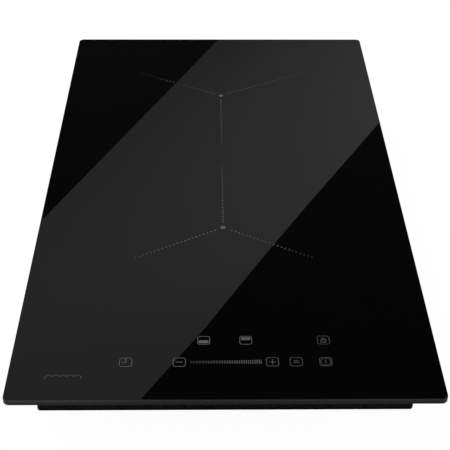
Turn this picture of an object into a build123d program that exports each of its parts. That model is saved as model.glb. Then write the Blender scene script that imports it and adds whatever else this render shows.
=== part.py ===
from build123d import *
import math
import os

# A two-zone built-in induction cooktop, in millimetres, with +Z up.
# The origin is the middle of the base's underside. The user stands at -Y and the back is +Y.

# Driving dimensions: the glass and the case below it
GLASS_WIDTH = 288.0
GLASS_DEPTH = 520.0
GLASS_THICK = 4.0
GLASS_CORNER = 4.5
TOTAL_HEIGHT = 60.0
TRAY_INSET = 18.0
SHEET = 1.0
FRONT_HEIGHT = 23.7
STEP_SETBACK = 60.0
BOND_THICK = 1.0
SEAL_THICK = 2.0

# Driving dimensions: the middles of the cooking zones and of the touch keys, seen from above
FRONT_ZONE = (0.0, -70.7)
REAR_ZONE = (0.0, 141.0)
FRONT_TURNS = 18
REAR_TURNS = 20
UPPER_KEY_ROW = -202.5
LOWER_KEY_ROW = -224.1
UPPER_KEYS_X = (-14.6, 14.2, 67.5)
LOWER_KEYS_X = (-66.7, -30.8, 31.6, 47.5, 67.3)
SLIDER_LENGTH = 48.0

# Driving dimensions: the cooling fan and the worktop clamps
FAN_X = -62.0
FAN_Y = 150.0
FAN_SIZE = 80.0
FAN_HEIGHT = 25.0
CLAMP_ROWS = {"front": -140.0, "rear": 165.0}
CLAMP_PAD_TOP = 24.0
CLAMP_DOWN = 10.0
CLAMP_UP = 5.0

# Levels and walls that follow from these
GLASS_Z = TOTAL_HEIGHT - GLASS_THICK
RIM_Z = GLASS_Z - BOND_THICK
SHELF_Z = GLASS_Z - FRONT_HEIGHT
TRAY_X = GLASS_WIDTH / 2 - TRAY_INSET
TRAY_FRONT = -GLASS_DEPTH / 2 + TRAY_INSET
TRAY_REAR = GLASS_DEPTH / 2 - TRAY_INSET
STEP_Y = -GLASS_DEPTH / 2 + STEP_SETBACK
FLOOR = SHEET

os.makedirs("parts", exist_ok=True)


def save(name, piece):
    """Label a finished piece and write it to its own file."""
    piece.part.label = name
    export_step(piece.part, f"parts/{name}.step")


# Screws: every one is a cross-recessed pan head, whose height and recess follow from its shank
HEAD_RATIO = 1.9
HEAD_HEIGHT_RATIO = 1.1
HEAD_TAPER = 12.0
RECESS_RATIO = 0.25
THREAD_GAP = 0.05


def pan_screws(planes, shank_radius, shank_length):
    """Screws, one on each plane, with heads along the normal and shanks the other way."""
    head_radius = HEAD_RATIO * shank_radius
    head_height = HEAD_HEIGHT_RATIO * shank_radius
    with BuildPart() as screws:
        with BuildSketch(*planes):
            Circle(head_radius)
        extrude(amount=head_height, taper=HEAD_TAPER)
        with BuildSketch(*[plane.offset(head_height) for plane in planes]):
            Rectangle(head_radius, RECESS_RATIO * head_radius)
            Rectangle(RECESS_RATIO * head_radius, head_radius)
        extrude(amount=-head_height / 2, mode=Mode.SUBTRACT)
        with BuildSketch(*planes):
            Circle(shank_radius)
        extrude(amount=-shank_length)
    return screws


# Glass top: black glass-ceramic with a softened edge all round, and along the front a ground bevel
# that runs out round the two front corners
GLASS_TOP_ROUND = 0.5
GLASS_LOWER_ARRIS = 0.3
BEVEL_DEPTH = 0.7
BEVEL_HEIGHT = 1.2
BEVEL_RUNOUT = 0.2
bevel_radius = GLASS_CORNER - BEVEL_RUNOUT
bevel_x = GLASS_WIDTH / 2 - GLASS_CORNER
bevel_y = -GLASS_DEPTH / 2 + BEVEL_DEPTH + bevel_radius


def bevel_section(plane):
    """The triangle that the bevel takes away, drawn outwards from the axis of a front corner."""
    with BuildSketch(plane) as section:
        with BuildLine():
            Polyline(
                (bevel_radius - BEVEL_DEPTH, TOTAL_HEIGHT + BEVEL_HEIGHT),
                (bevel_radius + 2 * BEVEL_DEPTH, TOTAL_HEIGHT - 2 * BEVEL_HEIGHT),
                (bevel_radius + 2 * BEVEL_DEPTH, TOTAL_HEIGHT + BEVEL_HEIGHT),
                close=True,
            )
        make_face()
    return section.sketch.face()


front_section = bevel_section(Plane(origin=(0, bevel_y, 0), x_dir=(0, -1, 0), z_dir=(-1, 0, 0)))

with BuildPart() as glass_top:
    with BuildSketch(Plane.XY.offset(GLASS_Z)):
        RectangleRounded(GLASS_WIDTH, GLASS_DEPTH, GLASS_CORNER)
    extrude(amount=GLASS_THICK)
    fillet(glass_top.edges().group_by(Axis.Z)[-1], GLASS_TOP_ROUND)
    chamfer(glass_top.edges().group_by(Axis.Z)[0], GLASS_LOWER_ARRIS)
    extrude(front_section, amount=bevel_x, both=True, mode=Mode.SUBTRACT)
    for side in (-1, 1):
        corner = (side * bevel_x, bevel_y, 0)
        corner_section = bevel_section(Plane(origin=corner, x_dir=(side, 0, 0), z_dir=(0, -side, 0)))
        revolve(corner_section, axis=Axis(corner, (0, 0, -side)), revolution_arc=90, mode=Mode.SUBTRACT)
save("glass_top", glass_top)

# Worktop seal: a foam strip all round, under the overhang of the glass
SEAL_INSET = 3.0
SEAL_WIDTH = 8.0
SEAL_Z = GLASS_Z - SEAL_THICK
seal_outer_x = GLASS_WIDTH - 2 * SEAL_INSET
seal_outer_y = GLASS_DEPTH - 2 * SEAL_INSET

with BuildPart() as worktop_seal:
    with BuildSketch(Plane.XY.offset(SEAL_Z)):
        RectangleRounded(seal_outer_x, seal_outer_y, GLASS_CORNER)
        Rectangle(seal_outer_x - 2 * SEAL_WIDTH, seal_outer_y - 2 * SEAL_WIDTH, mode=Mode.SUBTRACT)
    extrude(amount=SEAL_THICK)
save("worktop_seal", worktop_seal)

# Glass frame: folded steel, a flange bonded under the glass and a skirt just inside the tray's wall
FRAME_GAP = 0.2
FLANGE_WIDTH = 10.0
SKIRT_DEPTH = 12.0
FRAME_CORNER = 1.5
FRAME_SCREW_DROP = 7.0
FRAME_SCREW_RADIUS = 1.9
FRAME_SCREW_HOLE = 2.0
FRAME_HOLE_DEPTH = 3.0
FRAME_SCREW_ROWS = (-222.0, -62.0, 80.0, 218.0)
FRAME_SCREW_COLUMNS = (-80.0, 30.0)
flange_z = RIM_Z - SHEET
frame_x = 2 * (TRAY_X - SHEET - FRAME_GAP)
frame_y = TRAY_REAR - TRAY_FRONT - 2 * (SHEET + FRAME_GAP)
frame_screw_z = RIM_Z - FRAME_SCREW_DROP
frame_screw_planes = [
    Plane(origin=(side * TRAY_X, row, frame_screw_z), z_dir=(side, 0, 0))
    for side in (-1, 1)
    for row in FRAME_SCREW_ROWS
]
frame_screw_planes += [
    Plane(origin=(column, TRAY_REAR, frame_screw_z), z_dir=(0, 1, 0)) for column in FRAME_SCREW_COLUMNS
]

with BuildPart() as glass_frame:
    with BuildSketch(Plane.XY.offset(flange_z - SKIRT_DEPTH)):
        RectangleRounded(frame_x, frame_y, FRAME_CORNER)
        RectangleRounded(frame_x - 2 * SHEET, frame_y - 2 * SHEET, FRAME_CORNER - SHEET, mode=Mode.SUBTRACT)
    extrude(amount=SKIRT_DEPTH)
    with BuildSketch(Plane.XY.offset(flange_z)):
        RectangleRounded(frame_x, frame_y, FRAME_CORNER)
        Rectangle(frame_x - 2 * FLANGE_WIDTH, frame_y - 2 * FLANGE_WIDTH, mode=Mode.SUBTRACT)
    extrude(amount=SHEET)
    with BuildSketch(*frame_screw_planes):
        Circle(FRAME_SCREW_HOLE)
    extrude(amount=-FRAME_HOLE_DEPTH, mode=Mode.SUBTRACT)
save("glass_frame", glass_frame)

# Glass bond: the silicone bead between the flange and the glass
BOND_INSET = 2.0
BOND_WIDTH = 6.0

with BuildPart() as glass_bond:
    with BuildSketch(Plane.XY.offset(RIM_Z)):
        Rectangle(frame_x - 2 * BOND_INSET, frame_y - 2 * BOND_INSET)
        bond_reach = BOND_INSET + BOND_WIDTH
        Rectangle(frame_x - 2 * bond_reach, frame_y - 2 * bond_reach, mode=Mode.SUBTRACT)
    extrude(amount=BOND_THICK)
save("glass_bond", glass_bond)

# Frame screws: through the tray's walls into the skirt
FRAME_SCREW_LENGTH = 4.5
frame_screws = pan_screws(frame_screw_planes, FRAME_SCREW_RADIUS, FRAME_SCREW_LENGTH)
save("frame_screws", frame_screws)

# Base tray: pressed steel, shallow under the touch keys and deep under the coils
TRAY_CORNER = 2.0
TRAY_EDGE = 1.5
INTAKE_RADIUS = 39.0
EXHAUST_WIDTH = 190.0
EXHAUST_HEIGHT = 20.0
EXHAUST_Z = 16.0
GLAND_X = 78.0
GLAND_Z = 14.0
GLAND_HOLE = 8.0
CLAMP_SCREW_Z = 34.0
CLAMP_SCREW_RADIUS = 2.0
FAN_SCREW_PITCH = 71.5
FAN_SCREW_RADIUS = 1.75
BEAD_WIDTH = 9.0
BEAD_RISE = 1.2
FLOOR_SLOT = (24.0, 4.0)
FLOOR_SLOT_MIDDLE = (-29.0, -70.0)
FLOOR_SLOT_SPACING = (51.0, 12.0)
FLOOR_SLOT_COUNTS = (2, 12)
REAR_SLOT = (22.0, 3.5)
REAR_SLOT_MIDDLE = (-62.0, 20.0)
REAR_SLOT_PITCH = 8.0
REAR_SLOTS = 11
BEAD_LENGTHS = {(-80.0, -70.0): 190.0, (-29.0, -70.0): 190.0, (22.0, -70.0): 190.0, (62.0, 127.0): 84.0}


def pan_block(inset, front, floor):
    """One rounded block of the tray's form, moved inwards by the inset."""
    depth = TRAY_REAR - front - 2 * inset
    with BuildPart() as block:
        with BuildSketch(Plane.XY.offset(floor + inset)):
            with Locations((0, (TRAY_REAR + front) / 2)):
                RectangleRounded(2 * (TRAY_X - inset), depth, TRAY_CORNER - inset)
        extrude(amount=RIM_Z - floor - inset)
        fillet(block.edges().group_by(Axis.Z)[0], TRAY_EDGE - inset)
    return block.part


shallow_outside = pan_block(0, TRAY_FRONT, SHELF_Z)
deep_outside = pan_block(0, STEP_Y, 0)
shallow_inside = pan_block(SHEET, TRAY_FRONT, SHELF_Z)
deep_inside = pan_block(SHEET, STEP_Y, 0)
gland_plane = Plane(origin=(GLAND_X, TRAY_REAR, GLAND_Z), z_dir=(0, 1, 0))
clamp_screw_planes = [
    Plane(origin=(side * TRAY_X, row, CLAMP_SCREW_Z), z_dir=(side, 0, 0))
    for side in (-1, 1)
    for row in CLAMP_ROWS.values()
]
fan_corners = GridLocations(FAN_SCREW_PITCH, FAN_SCREW_PITCH, 2, 2).local_locations
fan_screw_spots = [(FAN_X + spot.position.X, FAN_Y + spot.position.Y) for spot in fan_corners]

with BuildPart() as base_tray:
    add(shallow_outside)
    add(deep_outside)
    add(shallow_inside, mode=Mode.SUBTRACT)
    add(deep_inside, mode=Mode.SUBTRACT)
    for bead_middle, bead_length in BEAD_LENGTHS.items():
        with BuildSketch(Plane.XY):
            with Locations(bead_middle):
                SlotOverall(bead_length, BEAD_WIDTH, rotation=90)
        extrude(amount=SHEET + BEAD_RISE)
        with BuildSketch(Plane.XY):
            with Locations(bead_middle):
                SlotOverall(bead_length - 2 * SHEET, BEAD_WIDTH - 2 * SHEET, rotation=90)
        extrude(amount=BEAD_RISE, mode=Mode.SUBTRACT)
    with BuildSketch(Plane.XY):
        with Locations((FAN_X, FAN_Y)):
            Circle(INTAKE_RADIUS)
        with Locations(*fan_screw_spots):
            Circle(FAN_SCREW_RADIUS + THREAD_GAP)
    extrude(amount=SHEET, mode=Mode.SUBTRACT)
    with BuildSketch(Plane.XY):
        with Locations(FLOOR_SLOT_MIDDLE):
            with GridLocations(*FLOOR_SLOT_SPACING, *FLOOR_SLOT_COUNTS):
                SlotOverall(*FLOOR_SLOT)
    extrude(amount=SHEET, mode=Mode.SUBTRACT)
    with BuildSketch(Plane.XZ.offset(-STEP_Y)):
        with Locations((0, EXHAUST_Z)):
            Rectangle(EXHAUST_WIDTH, EXHAUST_HEIGHT)
    extrude(amount=-SHEET, mode=Mode.SUBTRACT)
    with BuildSketch(Plane.XZ.offset(-TRAY_REAR)):
        with Locations(REAR_SLOT_MIDDLE):
            with GridLocations(REAR_SLOT_PITCH, 0, REAR_SLOTS, 1):
                SlotOverall(*REAR_SLOT, rotation=90)
    extrude(amount=SHEET, mode=Mode.SUBTRACT)
    with BuildSketch(gland_plane):
        Circle(GLAND_HOLE)
    extrude(amount=-SHEET, mode=Mode.SUBTRACT)
    with BuildSketch(*frame_screw_planes):
        Circle(FRAME_SCREW_HOLE)
    extrude(amount=-SHEET, mode=Mode.SUBTRACT)
    with BuildSketch(*clamp_screw_planes):
        Circle(CLAMP_SCREW_RADIUS + THREAD_GAP)
    extrude(amount=-SHEET, mode=Mode.SUBTRACT)
save("base_tray", base_tray)

# Exhaust grille: a moulded insert with upright slots, clipped into the step of the tray
GRILLE_FIT = 0.2
GRILLE_FLANGE = 3.0
GRILLE_FLANGE_THICK = 1.0
GRILLE_SLOT = 3.2
GRILLE_SLOT_LENGTH = 16.0
GRILLE_PITCH = 6.4
GRILLE_SLOTS = 29

with BuildPart() as exhaust_grille:
    with BuildSketch(Plane.XZ.offset(-STEP_Y)):
        with Locations((0, EXHAUST_Z)):
            Rectangle(EXHAUST_WIDTH - 2 * GRILLE_FIT, EXHAUST_HEIGHT - 2 * GRILLE_FIT)
    extrude(amount=-SHEET)
    with BuildSketch(Plane.XZ.offset(-STEP_Y - SHEET)):
        with Locations((0, EXHAUST_Z)):
            Rectangle(EXHAUST_WIDTH + 2 * GRILLE_FLANGE, EXHAUST_HEIGHT + 2 * GRILLE_FLANGE)
    extrude(amount=-GRILLE_FLANGE_THICK)
    with BuildSketch(Plane.XZ.offset(-STEP_Y)):
        with Locations((0, EXHAUST_Z)):
            with GridLocations(GRILLE_PITCH, 0, GRILLE_SLOTS, 1):
                SlotOverall(GRILLE_SLOT_LENGTH, GRILLE_SLOT, rotation=90)
    extrude(amount=-SHEET - GRILLE_FLANGE_THICK, mode=Mode.SUBTRACT)
save("exhaust_grille", exhaust_grille)

# Fan guard: a moulded square plate with ring slots, its round nose in the tray's inlet hole
GUARD_PLATE = 1.5
GUARD_CORNER = 6.0
GUARD_RINGS = 5
GUARD_FIRST = 6.0
GUARD_PITCH = 6.4
GUARD_SLOT = 3.8
GUARD_SPOKE = 3.0
GUARD_SPOKES = 3

with BuildPart() as fan_guard:
    with BuildSketch(Plane.XY):
        with Locations((FAN_X, FAN_Y)):
            Circle(INTAKE_RADIUS - GRILLE_FIT)
    extrude(amount=FLOOR)
    with BuildSketch(Plane.XY.offset(FLOOR)):
        with Locations((FAN_X, FAN_Y)):
            RectangleRounded(FAN_SIZE, FAN_SIZE, GUARD_CORNER)
        with Locations(*fan_screw_spots):
            Circle(FAN_SCREW_RADIUS + 2 * THREAD_GAP, mode=Mode.SUBTRACT)
    extrude(amount=GUARD_PLATE)
    for ring in range(GUARD_RINGS):
        slot_inside = GUARD_FIRST + ring * GUARD_PITCH
        with BuildSketch(Plane.XY):
            with Locations((FAN_X, FAN_Y)):
                Circle(slot_inside + GUARD_SLOT)
                Circle(slot_inside, mode=Mode.SUBTRACT)
                for spoke in range(GUARD_SPOKES):
                    Rectangle(FAN_SIZE, GUARD_SPOKE, rotation=180 / GUARD_SPOKES * spoke, mode=Mode.SUBTRACT)
        extrude(amount=FLOOR + GUARD_PLATE, mode=Mode.SUBTRACT)
save("fan_guard", fan_guard)

# Fan frame: a square moulding with a round duct and, on top, a hub on four struts
DUCT_RADIUS = 38.0
HUB_RADIUS = 17.0
HUB_THICK = 3.0
STRUT_WIDTH = 4.0
STRUT_OVERLAP = 0.5
TUBE_OUTER = 4.0
TUBE_INNER = 2.5
TUBE_LIFT = 7.5
fan_floor = FLOOR + GUARD_PLATE
fan_top = fan_floor + FAN_HEIGHT
hub_z = fan_top - HUB_THICK
tube_z = fan_floor + TUBE_LIFT

with BuildPart() as fan_frame:
    with BuildSketch(Plane.XY.offset(fan_floor)):
        with Locations((FAN_X, FAN_Y)):
            RectangleRounded(FAN_SIZE, FAN_SIZE, GUARD_CORNER)
            Circle(DUCT_RADIUS, mode=Mode.SUBTRACT)
        with Locations(*fan_screw_spots):
            Circle(FAN_SCREW_RADIUS + 2 * THREAD_GAP, mode=Mode.SUBTRACT)
    extrude(amount=FAN_HEIGHT)
    with BuildSketch(Plane.XY.offset(hub_z)):
        with Locations((FAN_X, FAN_Y)):
            Circle(HUB_RADIUS)
            for strut in range(2):
                Rectangle(2 * (DUCT_RADIUS + STRUT_OVERLAP), STRUT_WIDTH, rotation=45 + 90 * strut)
    extrude(amount=HUB_THICK)
    with BuildSketch(Plane.XY.offset(tube_z)):
        with Locations((FAN_X, FAN_Y)):
            Circle(TUBE_OUTER)
            Circle(TUBE_INNER, mode=Mode.SUBTRACT)
    extrude(amount=hub_z - tube_z)
save("fan_frame", fan_frame)

# Fan bearing: a bronze sleeve in the hub's tube
SHAFT_RADIUS = 1.5
BEARING_CLEARANCE = 0.05

with BuildPart() as fan_bearing:
    with BuildSketch(Plane.XY.offset(tube_z)):
        with Locations((FAN_X, FAN_Y)):
            Circle(TUBE_INNER)
            Circle(SHAFT_RADIUS + BEARING_CLEARANCE, mode=Mode.SUBTRACT)
    extrude(amount=hub_z - tube_z)
save("fan_bearing", fan_bearing)

# Fan stator: the wound core, pressed on the outside of the tube
STATOR_RADIUS = 11.0
STATOR_HEIGHT = 10.0
STATOR_SLOT = 2.0
STATOR_YOKE = 8.0
STATOR_LIFT = 1.0
stator_z = tube_z + STATOR_LIFT

with BuildPart() as fan_stator:
    with BuildSketch(Plane.XY.offset(stator_z)):
        with Locations((FAN_X, FAN_Y)):
            Circle(STATOR_RADIUS)
            for slot in range(2):
                Rectangle(2 * STATOR_RADIUS, STATOR_SLOT, rotation=45 + 90 * slot, mode=Mode.SUBTRACT)
            Circle(STATOR_YOKE)
            Circle(TUBE_OUTER, mode=Mode.SUBTRACT)
    extrude(amount=STATOR_HEIGHT)
save("fan_stator", fan_stator)

# Fan impeller: a moulded hub cup with pitched blades that taper to the tip
CUP_RADIUS = 16.0
CUP_WALL = 2.0
BLADES = 7
BLADE_TIP = 36.6
BLADE_THICK = 1.6
ROOT_CHORD = 19.0
ROOT_PITCH = 40.0
TIP_CHORD = 24.0
TIP_PITCH = 28.0
CUP_LIFT = 3.5
HUB_GAP = 2.0
BLADE_ROOT = 14.3
TIP_TRIM = 3.0
cup_z = fan_floor + CUP_LIFT
cup_top = hub_z - HUB_GAP
blade_sections = ((BLADE_ROOT, ROOT_CHORD, ROOT_PITCH), (BLADE_TIP + TIP_TRIM, TIP_CHORD, TIP_PITCH))
blade_z = (cup_z + cup_top) / 2

with BuildPart() as fan_impeller:
    for blade in range(BLADES):
        turn = math.radians(360 / BLADES * blade)
        outward = (math.cos(turn), math.sin(turn), 0)
        around = (-math.sin(turn), math.cos(turn), 0)
        for reach, chord, pitch in blade_sections:
            section_middle = (FAN_X + reach * outward[0], FAN_Y + reach * outward[1], blade_z)
            with BuildSketch(Plane(origin=section_middle, x_dir=around, z_dir=outward)):
                Rectangle(chord, BLADE_THICK, rotation=pitch)
        loft(ruled=True)
    with BuildSketch(Plane.XY.offset(fan_floor)):
        with Locations((FAN_X, FAN_Y)):
            Circle(BLADE_TIP)
    extrude(amount=FAN_HEIGHT, mode=Mode.INTERSECT)
    with BuildSketch(Plane.XY.offset(cup_z)):
        with Locations((FAN_X, FAN_Y)):
            Circle(CUP_RADIUS)
    extrude(amount=cup_top - cup_z)
    with BuildSketch(Plane.XY.offset(cup_z + CUP_WALL)):
        with Locations((FAN_X, FAN_Y)):
            Circle(CUP_RADIUS - CUP_WALL)
    extrude(amount=cup_top - cup_z, mode=Mode.SUBTRACT)
    with BuildSketch(Plane.XY.offset(cup_z)):
        with Locations((FAN_X, FAN_Y)):
            Circle(SHAFT_RADIUS)
    extrude(amount=CUP_WALL, mode=Mode.SUBTRACT)
save("fan_impeller", fan_impeller)

# Fan magnet: a ring glued inside the cup, round the stator with an air gap
MAGNET_WALL = 2.0

with BuildPart() as fan_magnet:
    with BuildSketch(Plane.XY.offset(stator_z)):
        with Locations((FAN_X, FAN_Y)):
            Circle(CUP_RADIUS - CUP_WALL)
            Circle(CUP_RADIUS - CUP_WALL - MAGNET_WALL, mode=Mode.SUBTRACT)
    extrude(amount=STATOR_HEIGHT)
save("fan_magnet", fan_magnet)

# Fan shaft: a steel pin pressed in the cup's floor and running in the bearing
SHAFT_END_GAP = 0.5

with BuildPart() as fan_shaft:
    with BuildSketch(Plane.XY.offset(cup_z)):
        with Locations((FAN_X, FAN_Y)):
            Circle(SHAFT_RADIUS)
    extrude(amount=hub_z - SHAFT_END_GAP - cup_z)
save("fan_shaft", fan_shaft)

# Fan screws: through the fan's corners and the guard into the tray's floor
FAN_SCREW_TIP = 0.2
fan_screw_planes = [Plane(origin=(*spot, fan_top)) for spot in fan_screw_spots]
fan_screws = pan_screws(fan_screw_planes, FAN_SCREW_RADIUS, fan_top - FAN_SCREW_TIP)
save("fan_screws", fan_screws)

# Circuit boards: the power board under the front coil and the mains filter board at the right rear
BOARD_THICK = 1.6
STANDOFF_HEIGHT = 6.0
BOARD_CORNER = 2.0
BOARD_HOLE_INSET = 5.0
BOARD_HOLE = 1.6
POWER_MIDDLE = (-29.0, -67.0)
POWER_SIZE = (150.0, 238.0)
FILTER_MIDDLE = (62.0, 127.0)
FILTER_SIZE = (84.0, 110.0)
board_z = FLOOR + STANDOFF_HEIGHT
board_top = board_z + BOARD_THICK


def board_holes(middle, size):
    """The middles of a board's four fixing holes."""
    reach_x = size[0] / 2 - BOARD_HOLE_INSET
    reach_y = size[1] / 2 - BOARD_HOLE_INSET
    return [(middle[0] + i * reach_x, middle[1] + j * reach_y) for i in (-1, 1) for j in (-1, 1)]


def circuit_board(middle, size):
    """A board on its standoffs, with its four fixing holes."""
    with BuildPart() as board:
        with BuildSketch(Plane.XY.offset(board_z)):
            with Locations(middle):
                RectangleRounded(*size, BOARD_CORNER)
            with Locations(*board_holes(middle, size)):
                Circle(BOARD_HOLE, mode=Mode.SUBTRACT)
        extrude(amount=BOARD_THICK)
    return board


power_board = circuit_board(POWER_MIDDLE, POWER_SIZE)
save("power_board", power_board)
filter_board = circuit_board(FILTER_MIDDLE, FILTER_SIZE)
save("filter_board", filter_board)
board_spots = board_holes(POWER_MIDDLE, POWER_SIZE) + board_holes(FILTER_MIDDLE, FILTER_SIZE)

# Board standoffs: steel spacers riveted to the floor
STANDOFF_RADIUS = 3.0
M3_RADIUS = 1.4

with BuildPart() as board_standoffs:
    with BuildSketch(Plane.XY.offset(FLOOR)):
        with Locations(*board_spots):
            Circle(STANDOFF_RADIUS)
            Circle(M3_RADIUS + THREAD_GAP, mode=Mode.SUBTRACT)
    extrude(amount=STANDOFF_HEIGHT)
save("board_standoffs", board_standoffs)

# Coil plate: an aluminium sheet that carries both coils, on posts beside the boards
PLATE_Z = 37.0
PLATE_THICK = 1.0
PLATE_FRONT = -180.0
PLATE_REAR = 234.0
PLATE_HALF_WIDTH = 117.0
PLATE_CORNER = 8.0
POST_RADIUS = 4.0
POST_X = 112.0
POST_ROWS = (-170.0, 30.0, 226.0)
PLATE_HOLE = 1.7
LEAD_CIRCLE = 45.0
LEAD_HOLE = 5.0
M3_HOLE_DEPTH = 9.0
M3_SHANK = 7.0
post_spots = [(side * POST_X, row) for side in (-1, 1) for row in POST_ROWS]


def lead_spots(zone, angles):
    """The places where a zone's leads leave its coil."""
    return [
        (
            zone[0] + LEAD_CIRCLE * math.cos(math.radians(angle)),
            zone[1] + LEAD_CIRCLE * math.sin(math.radians(angle)),
        )
        for angle in angles
    ]


front_lead_spots = lead_spots(FRONT_ZONE, (-22.5, 22.5))
rear_lead_spots = lead_spots(REAR_ZONE, (-67.5, -112.5))

with BuildPart() as coil_plate:
    with BuildSketch(Plane.XY.offset(PLATE_Z)):
        with Locations((0, (PLATE_FRONT + PLATE_REAR) / 2)):
            RectangleRounded(2 * PLATE_HALF_WIDTH, PLATE_REAR - PLATE_FRONT, PLATE_CORNER)
        with Locations(*post_spots):
            Circle(PLATE_HOLE, mode=Mode.SUBTRACT)
        with Locations(*front_lead_spots, *rear_lead_spots):
            Circle(LEAD_HOLE, mode=Mode.SUBTRACT)
    extrude(amount=PLATE_THICK)
save("coil_plate", coil_plate)

with BuildPart() as coil_plate_posts:
    with BuildSketch(Plane.XY.offset(FLOOR)):
        with Locations(*post_spots):
            RegularPolygon(POST_RADIUS, 6)
    extrude(amount=PLATE_Z - FLOOR)
    with BuildSketch(Plane.XY.offset(PLATE_Z)):
        with Locations(*post_spots):
            Circle(M3_RADIUS + THREAD_GAP)
    extrude(amount=-M3_HOLE_DEPTH, mode=Mode.SUBTRACT)
save("coil_plate_posts", coil_plate_posts)

# Chassis screws: alike, in the boards and the coil plate
chassis_planes = [Plane(origin=(*spot, board_top)) for spot in board_spots]
chassis_planes += [Plane(origin=(*spot, PLATE_Z + PLATE_THICK)) for spot in post_spots]
chassis_screws = pan_screws(chassis_planes, M3_RADIUS, M3_SHANK)
save("chassis_screws", chassis_screws)

# Coils: for each zone a moulded former, a flat spiral of litz wire, ferrite bars, a mica sheet,
# a temperature sensor under the middle of the glass, and silicone buffers on the plate
MICA_THICK = 0.5
WIRE_WIDTH = 2.5
WIRE_HEIGHT = 4.0
TURN_PITCH = 3.1
GAP_STEP = 10
COIL_INNER = 22.0
FORMER_THICK = 3.0
FORMER_MARGIN = 1.5
FERRITE_THICK = 5.0
FERRITE_WIDTH = 11.0
FERRITE_INNER = 20.0
FERRITES = 8
SENSOR_RADIUS = 6.0
SENSOR_ROUND = 1.0
BUFFER_RADIUS = 5.0
BUFFER_CIRCLE = 66.0
BUFFERS = 4
mica_z = GLASS_Z - MICA_THICK
winding_z = mica_z - WIRE_HEIGHT
former_z = winding_z - FORMER_THICK
plate_top = PLATE_Z + PLATE_THICK
between_bars = 180 / FERRITES


def turn_arcs(zone, side, turn):
    """The two half circles of one side of a turn: each one's middle, radius and first angle."""
    radius = COIL_INNER + side + turn * TURN_PITCH
    shifted = (zone[0] + TURN_PITCH / 2, zone[1])
    return ((zone, radius, 0), (shifted, radius + TURN_PITCH / 2, 180))


def side_points(zone, side, turn):
    """Points along one side of a turn."""
    return [
        (
            arc_middle[0] + radius * math.cos(math.radians(angle)),
            arc_middle[1] + radius * math.sin(math.radians(angle)),
        )
        for arc_middle, radius, first in turn_arcs(zone, side, turn)
        for angle in range(first, first + 180, GAP_STEP)
    ]


def least_gap(zone, turns):
    """The least distance from any turn's outer side to the next turn's inner side."""
    return min(
        math.dist(point, other)
        for turn in range(turns - 1)
        for point in side_points(zone, WIRE_WIDTH, turn)
        for other in side_points(zone, 0, turn + 1)
    )


def make_coil(zone_name, zone, turns):
    """All the pieces of one zone's coil, saved under the zone's name."""
    middle_x, middle_y = zone
    coil_outer = COIL_INNER + turns * TURN_PITCH + WIRE_WIDTH
    former_radius = coil_outer + FORMER_MARGIN

    with BuildPart() as winding:
        with BuildSketch(Plane.XY.offset(winding_z)):
            with BuildLine():
                for side in (0, WIRE_WIDTH):
                    for turn in range(turns):
                        for arc_middle, radius, first in turn_arcs(zone, side, turn):
                            CenterArc(arc_middle, radius, first, 180)
                for end in (COIL_INNER, COIL_INNER + turns * TURN_PITCH):
                    Line((middle_x + end, middle_y), (middle_x + end + WIRE_WIDTH, middle_y))
            make_face()
        extrude(amount=WIRE_HEIGHT)
    save(f"{zone_name}_coil_winding", winding)
    print(f"{zone_name} winding, least gap between turns:", round(least_gap(zone, turns), 2), "mm")

    with BuildPart() as former:
        with BuildSketch(Plane.XY.offset(former_z)):
            with Locations(zone):
                Circle(former_radius)
                with PolarLocations(LEAD_CIRCLE, FERRITES, between_bars):
                    Circle(LEAD_HOLE, mode=Mode.SUBTRACT)
        extrude(amount=FORMER_THICK)
    save(f"{zone_name}_coil_former", former)

    with BuildPart() as ferrites:
        bar_length = coil_outer - FERRITE_INNER
        with BuildSketch(Plane.XY.offset(former_z)):
            with Locations(zone):
                with PolarLocations(FERRITE_INNER + bar_length / 2, FERRITES):
                    Rectangle(bar_length, FERRITE_WIDTH)
        extrude(amount=-FERRITE_THICK)
    save(f"{zone_name}_coil_ferrites", ferrites)

    with BuildPart() as mica:
        with BuildSketch(Plane.XY.offset(mica_z)):
            with Locations(zone):
                Circle(former_radius)
        extrude(amount=MICA_THICK)
    save(f"{zone_name}_coil_mica", mica)

    with BuildPart() as sensor:
        with BuildSketch(Plane.XY.offset(winding_z)):
            with Locations(zone):
                Circle(SENSOR_RADIUS)
        extrude(amount=WIRE_HEIGHT)
        fillet(sensor.edges().group_by(Axis.Z)[-1], SENSOR_ROUND)
    save(f"{zone_name}_coil_sensor", sensor)

    with BuildPart() as buffers:
        with BuildSketch(Plane.XY.offset(plate_top)):
            with Locations(zone):
                with PolarLocations(BUFFER_CIRCLE, BUFFERS, between_bars):
                    Circle(BUFFER_RADIUS)
        extrude(amount=former_z - plate_top)
    save(f"{zone_name}_coil_buffers", buffers)


make_coil("front", FRONT_ZONE, FRONT_TURNS)
make_coil("rear", REAR_ZONE, REAR_TURNS)

# Coil leads: sleeved litz from the windings, through the plate, down to the power board
LEAD_RADIUS = 1.5
LEAD_BEND = 8.0
LEAD_LEVEL = 28.0
LEAD_STEP = 9.0
REAR_LEAD_END = 44.0
lead_lower = LEAD_LEVEL - LEAD_STEP
lead_routes = [
    [(x, y, winding_z), (x, y, LEAD_LEVEL), (x, y - LEAD_STEP, lead_lower), (x, y - LEAD_STEP, board_top)]
    for x, y in front_lead_spots
]
lead_routes += [
    [(x, y, winding_z), (x, y, LEAD_LEVEL), (x, REAR_LEAD_END, LEAD_LEVEL), (x, REAR_LEAD_END, board_top)]
    for x, y in rear_lead_spots
]

with BuildPart() as coil_leads:
    for route in lead_routes:
        with BuildLine():
            FilletPolyline(*route, radius=LEAD_BEND)
        with BuildSketch(Plane(origin=route[0], z_dir=(0, 0, -1))):
            Circle(LEAD_RADIUS)
        sweep()
save("coil_leads", coil_leads)

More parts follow.
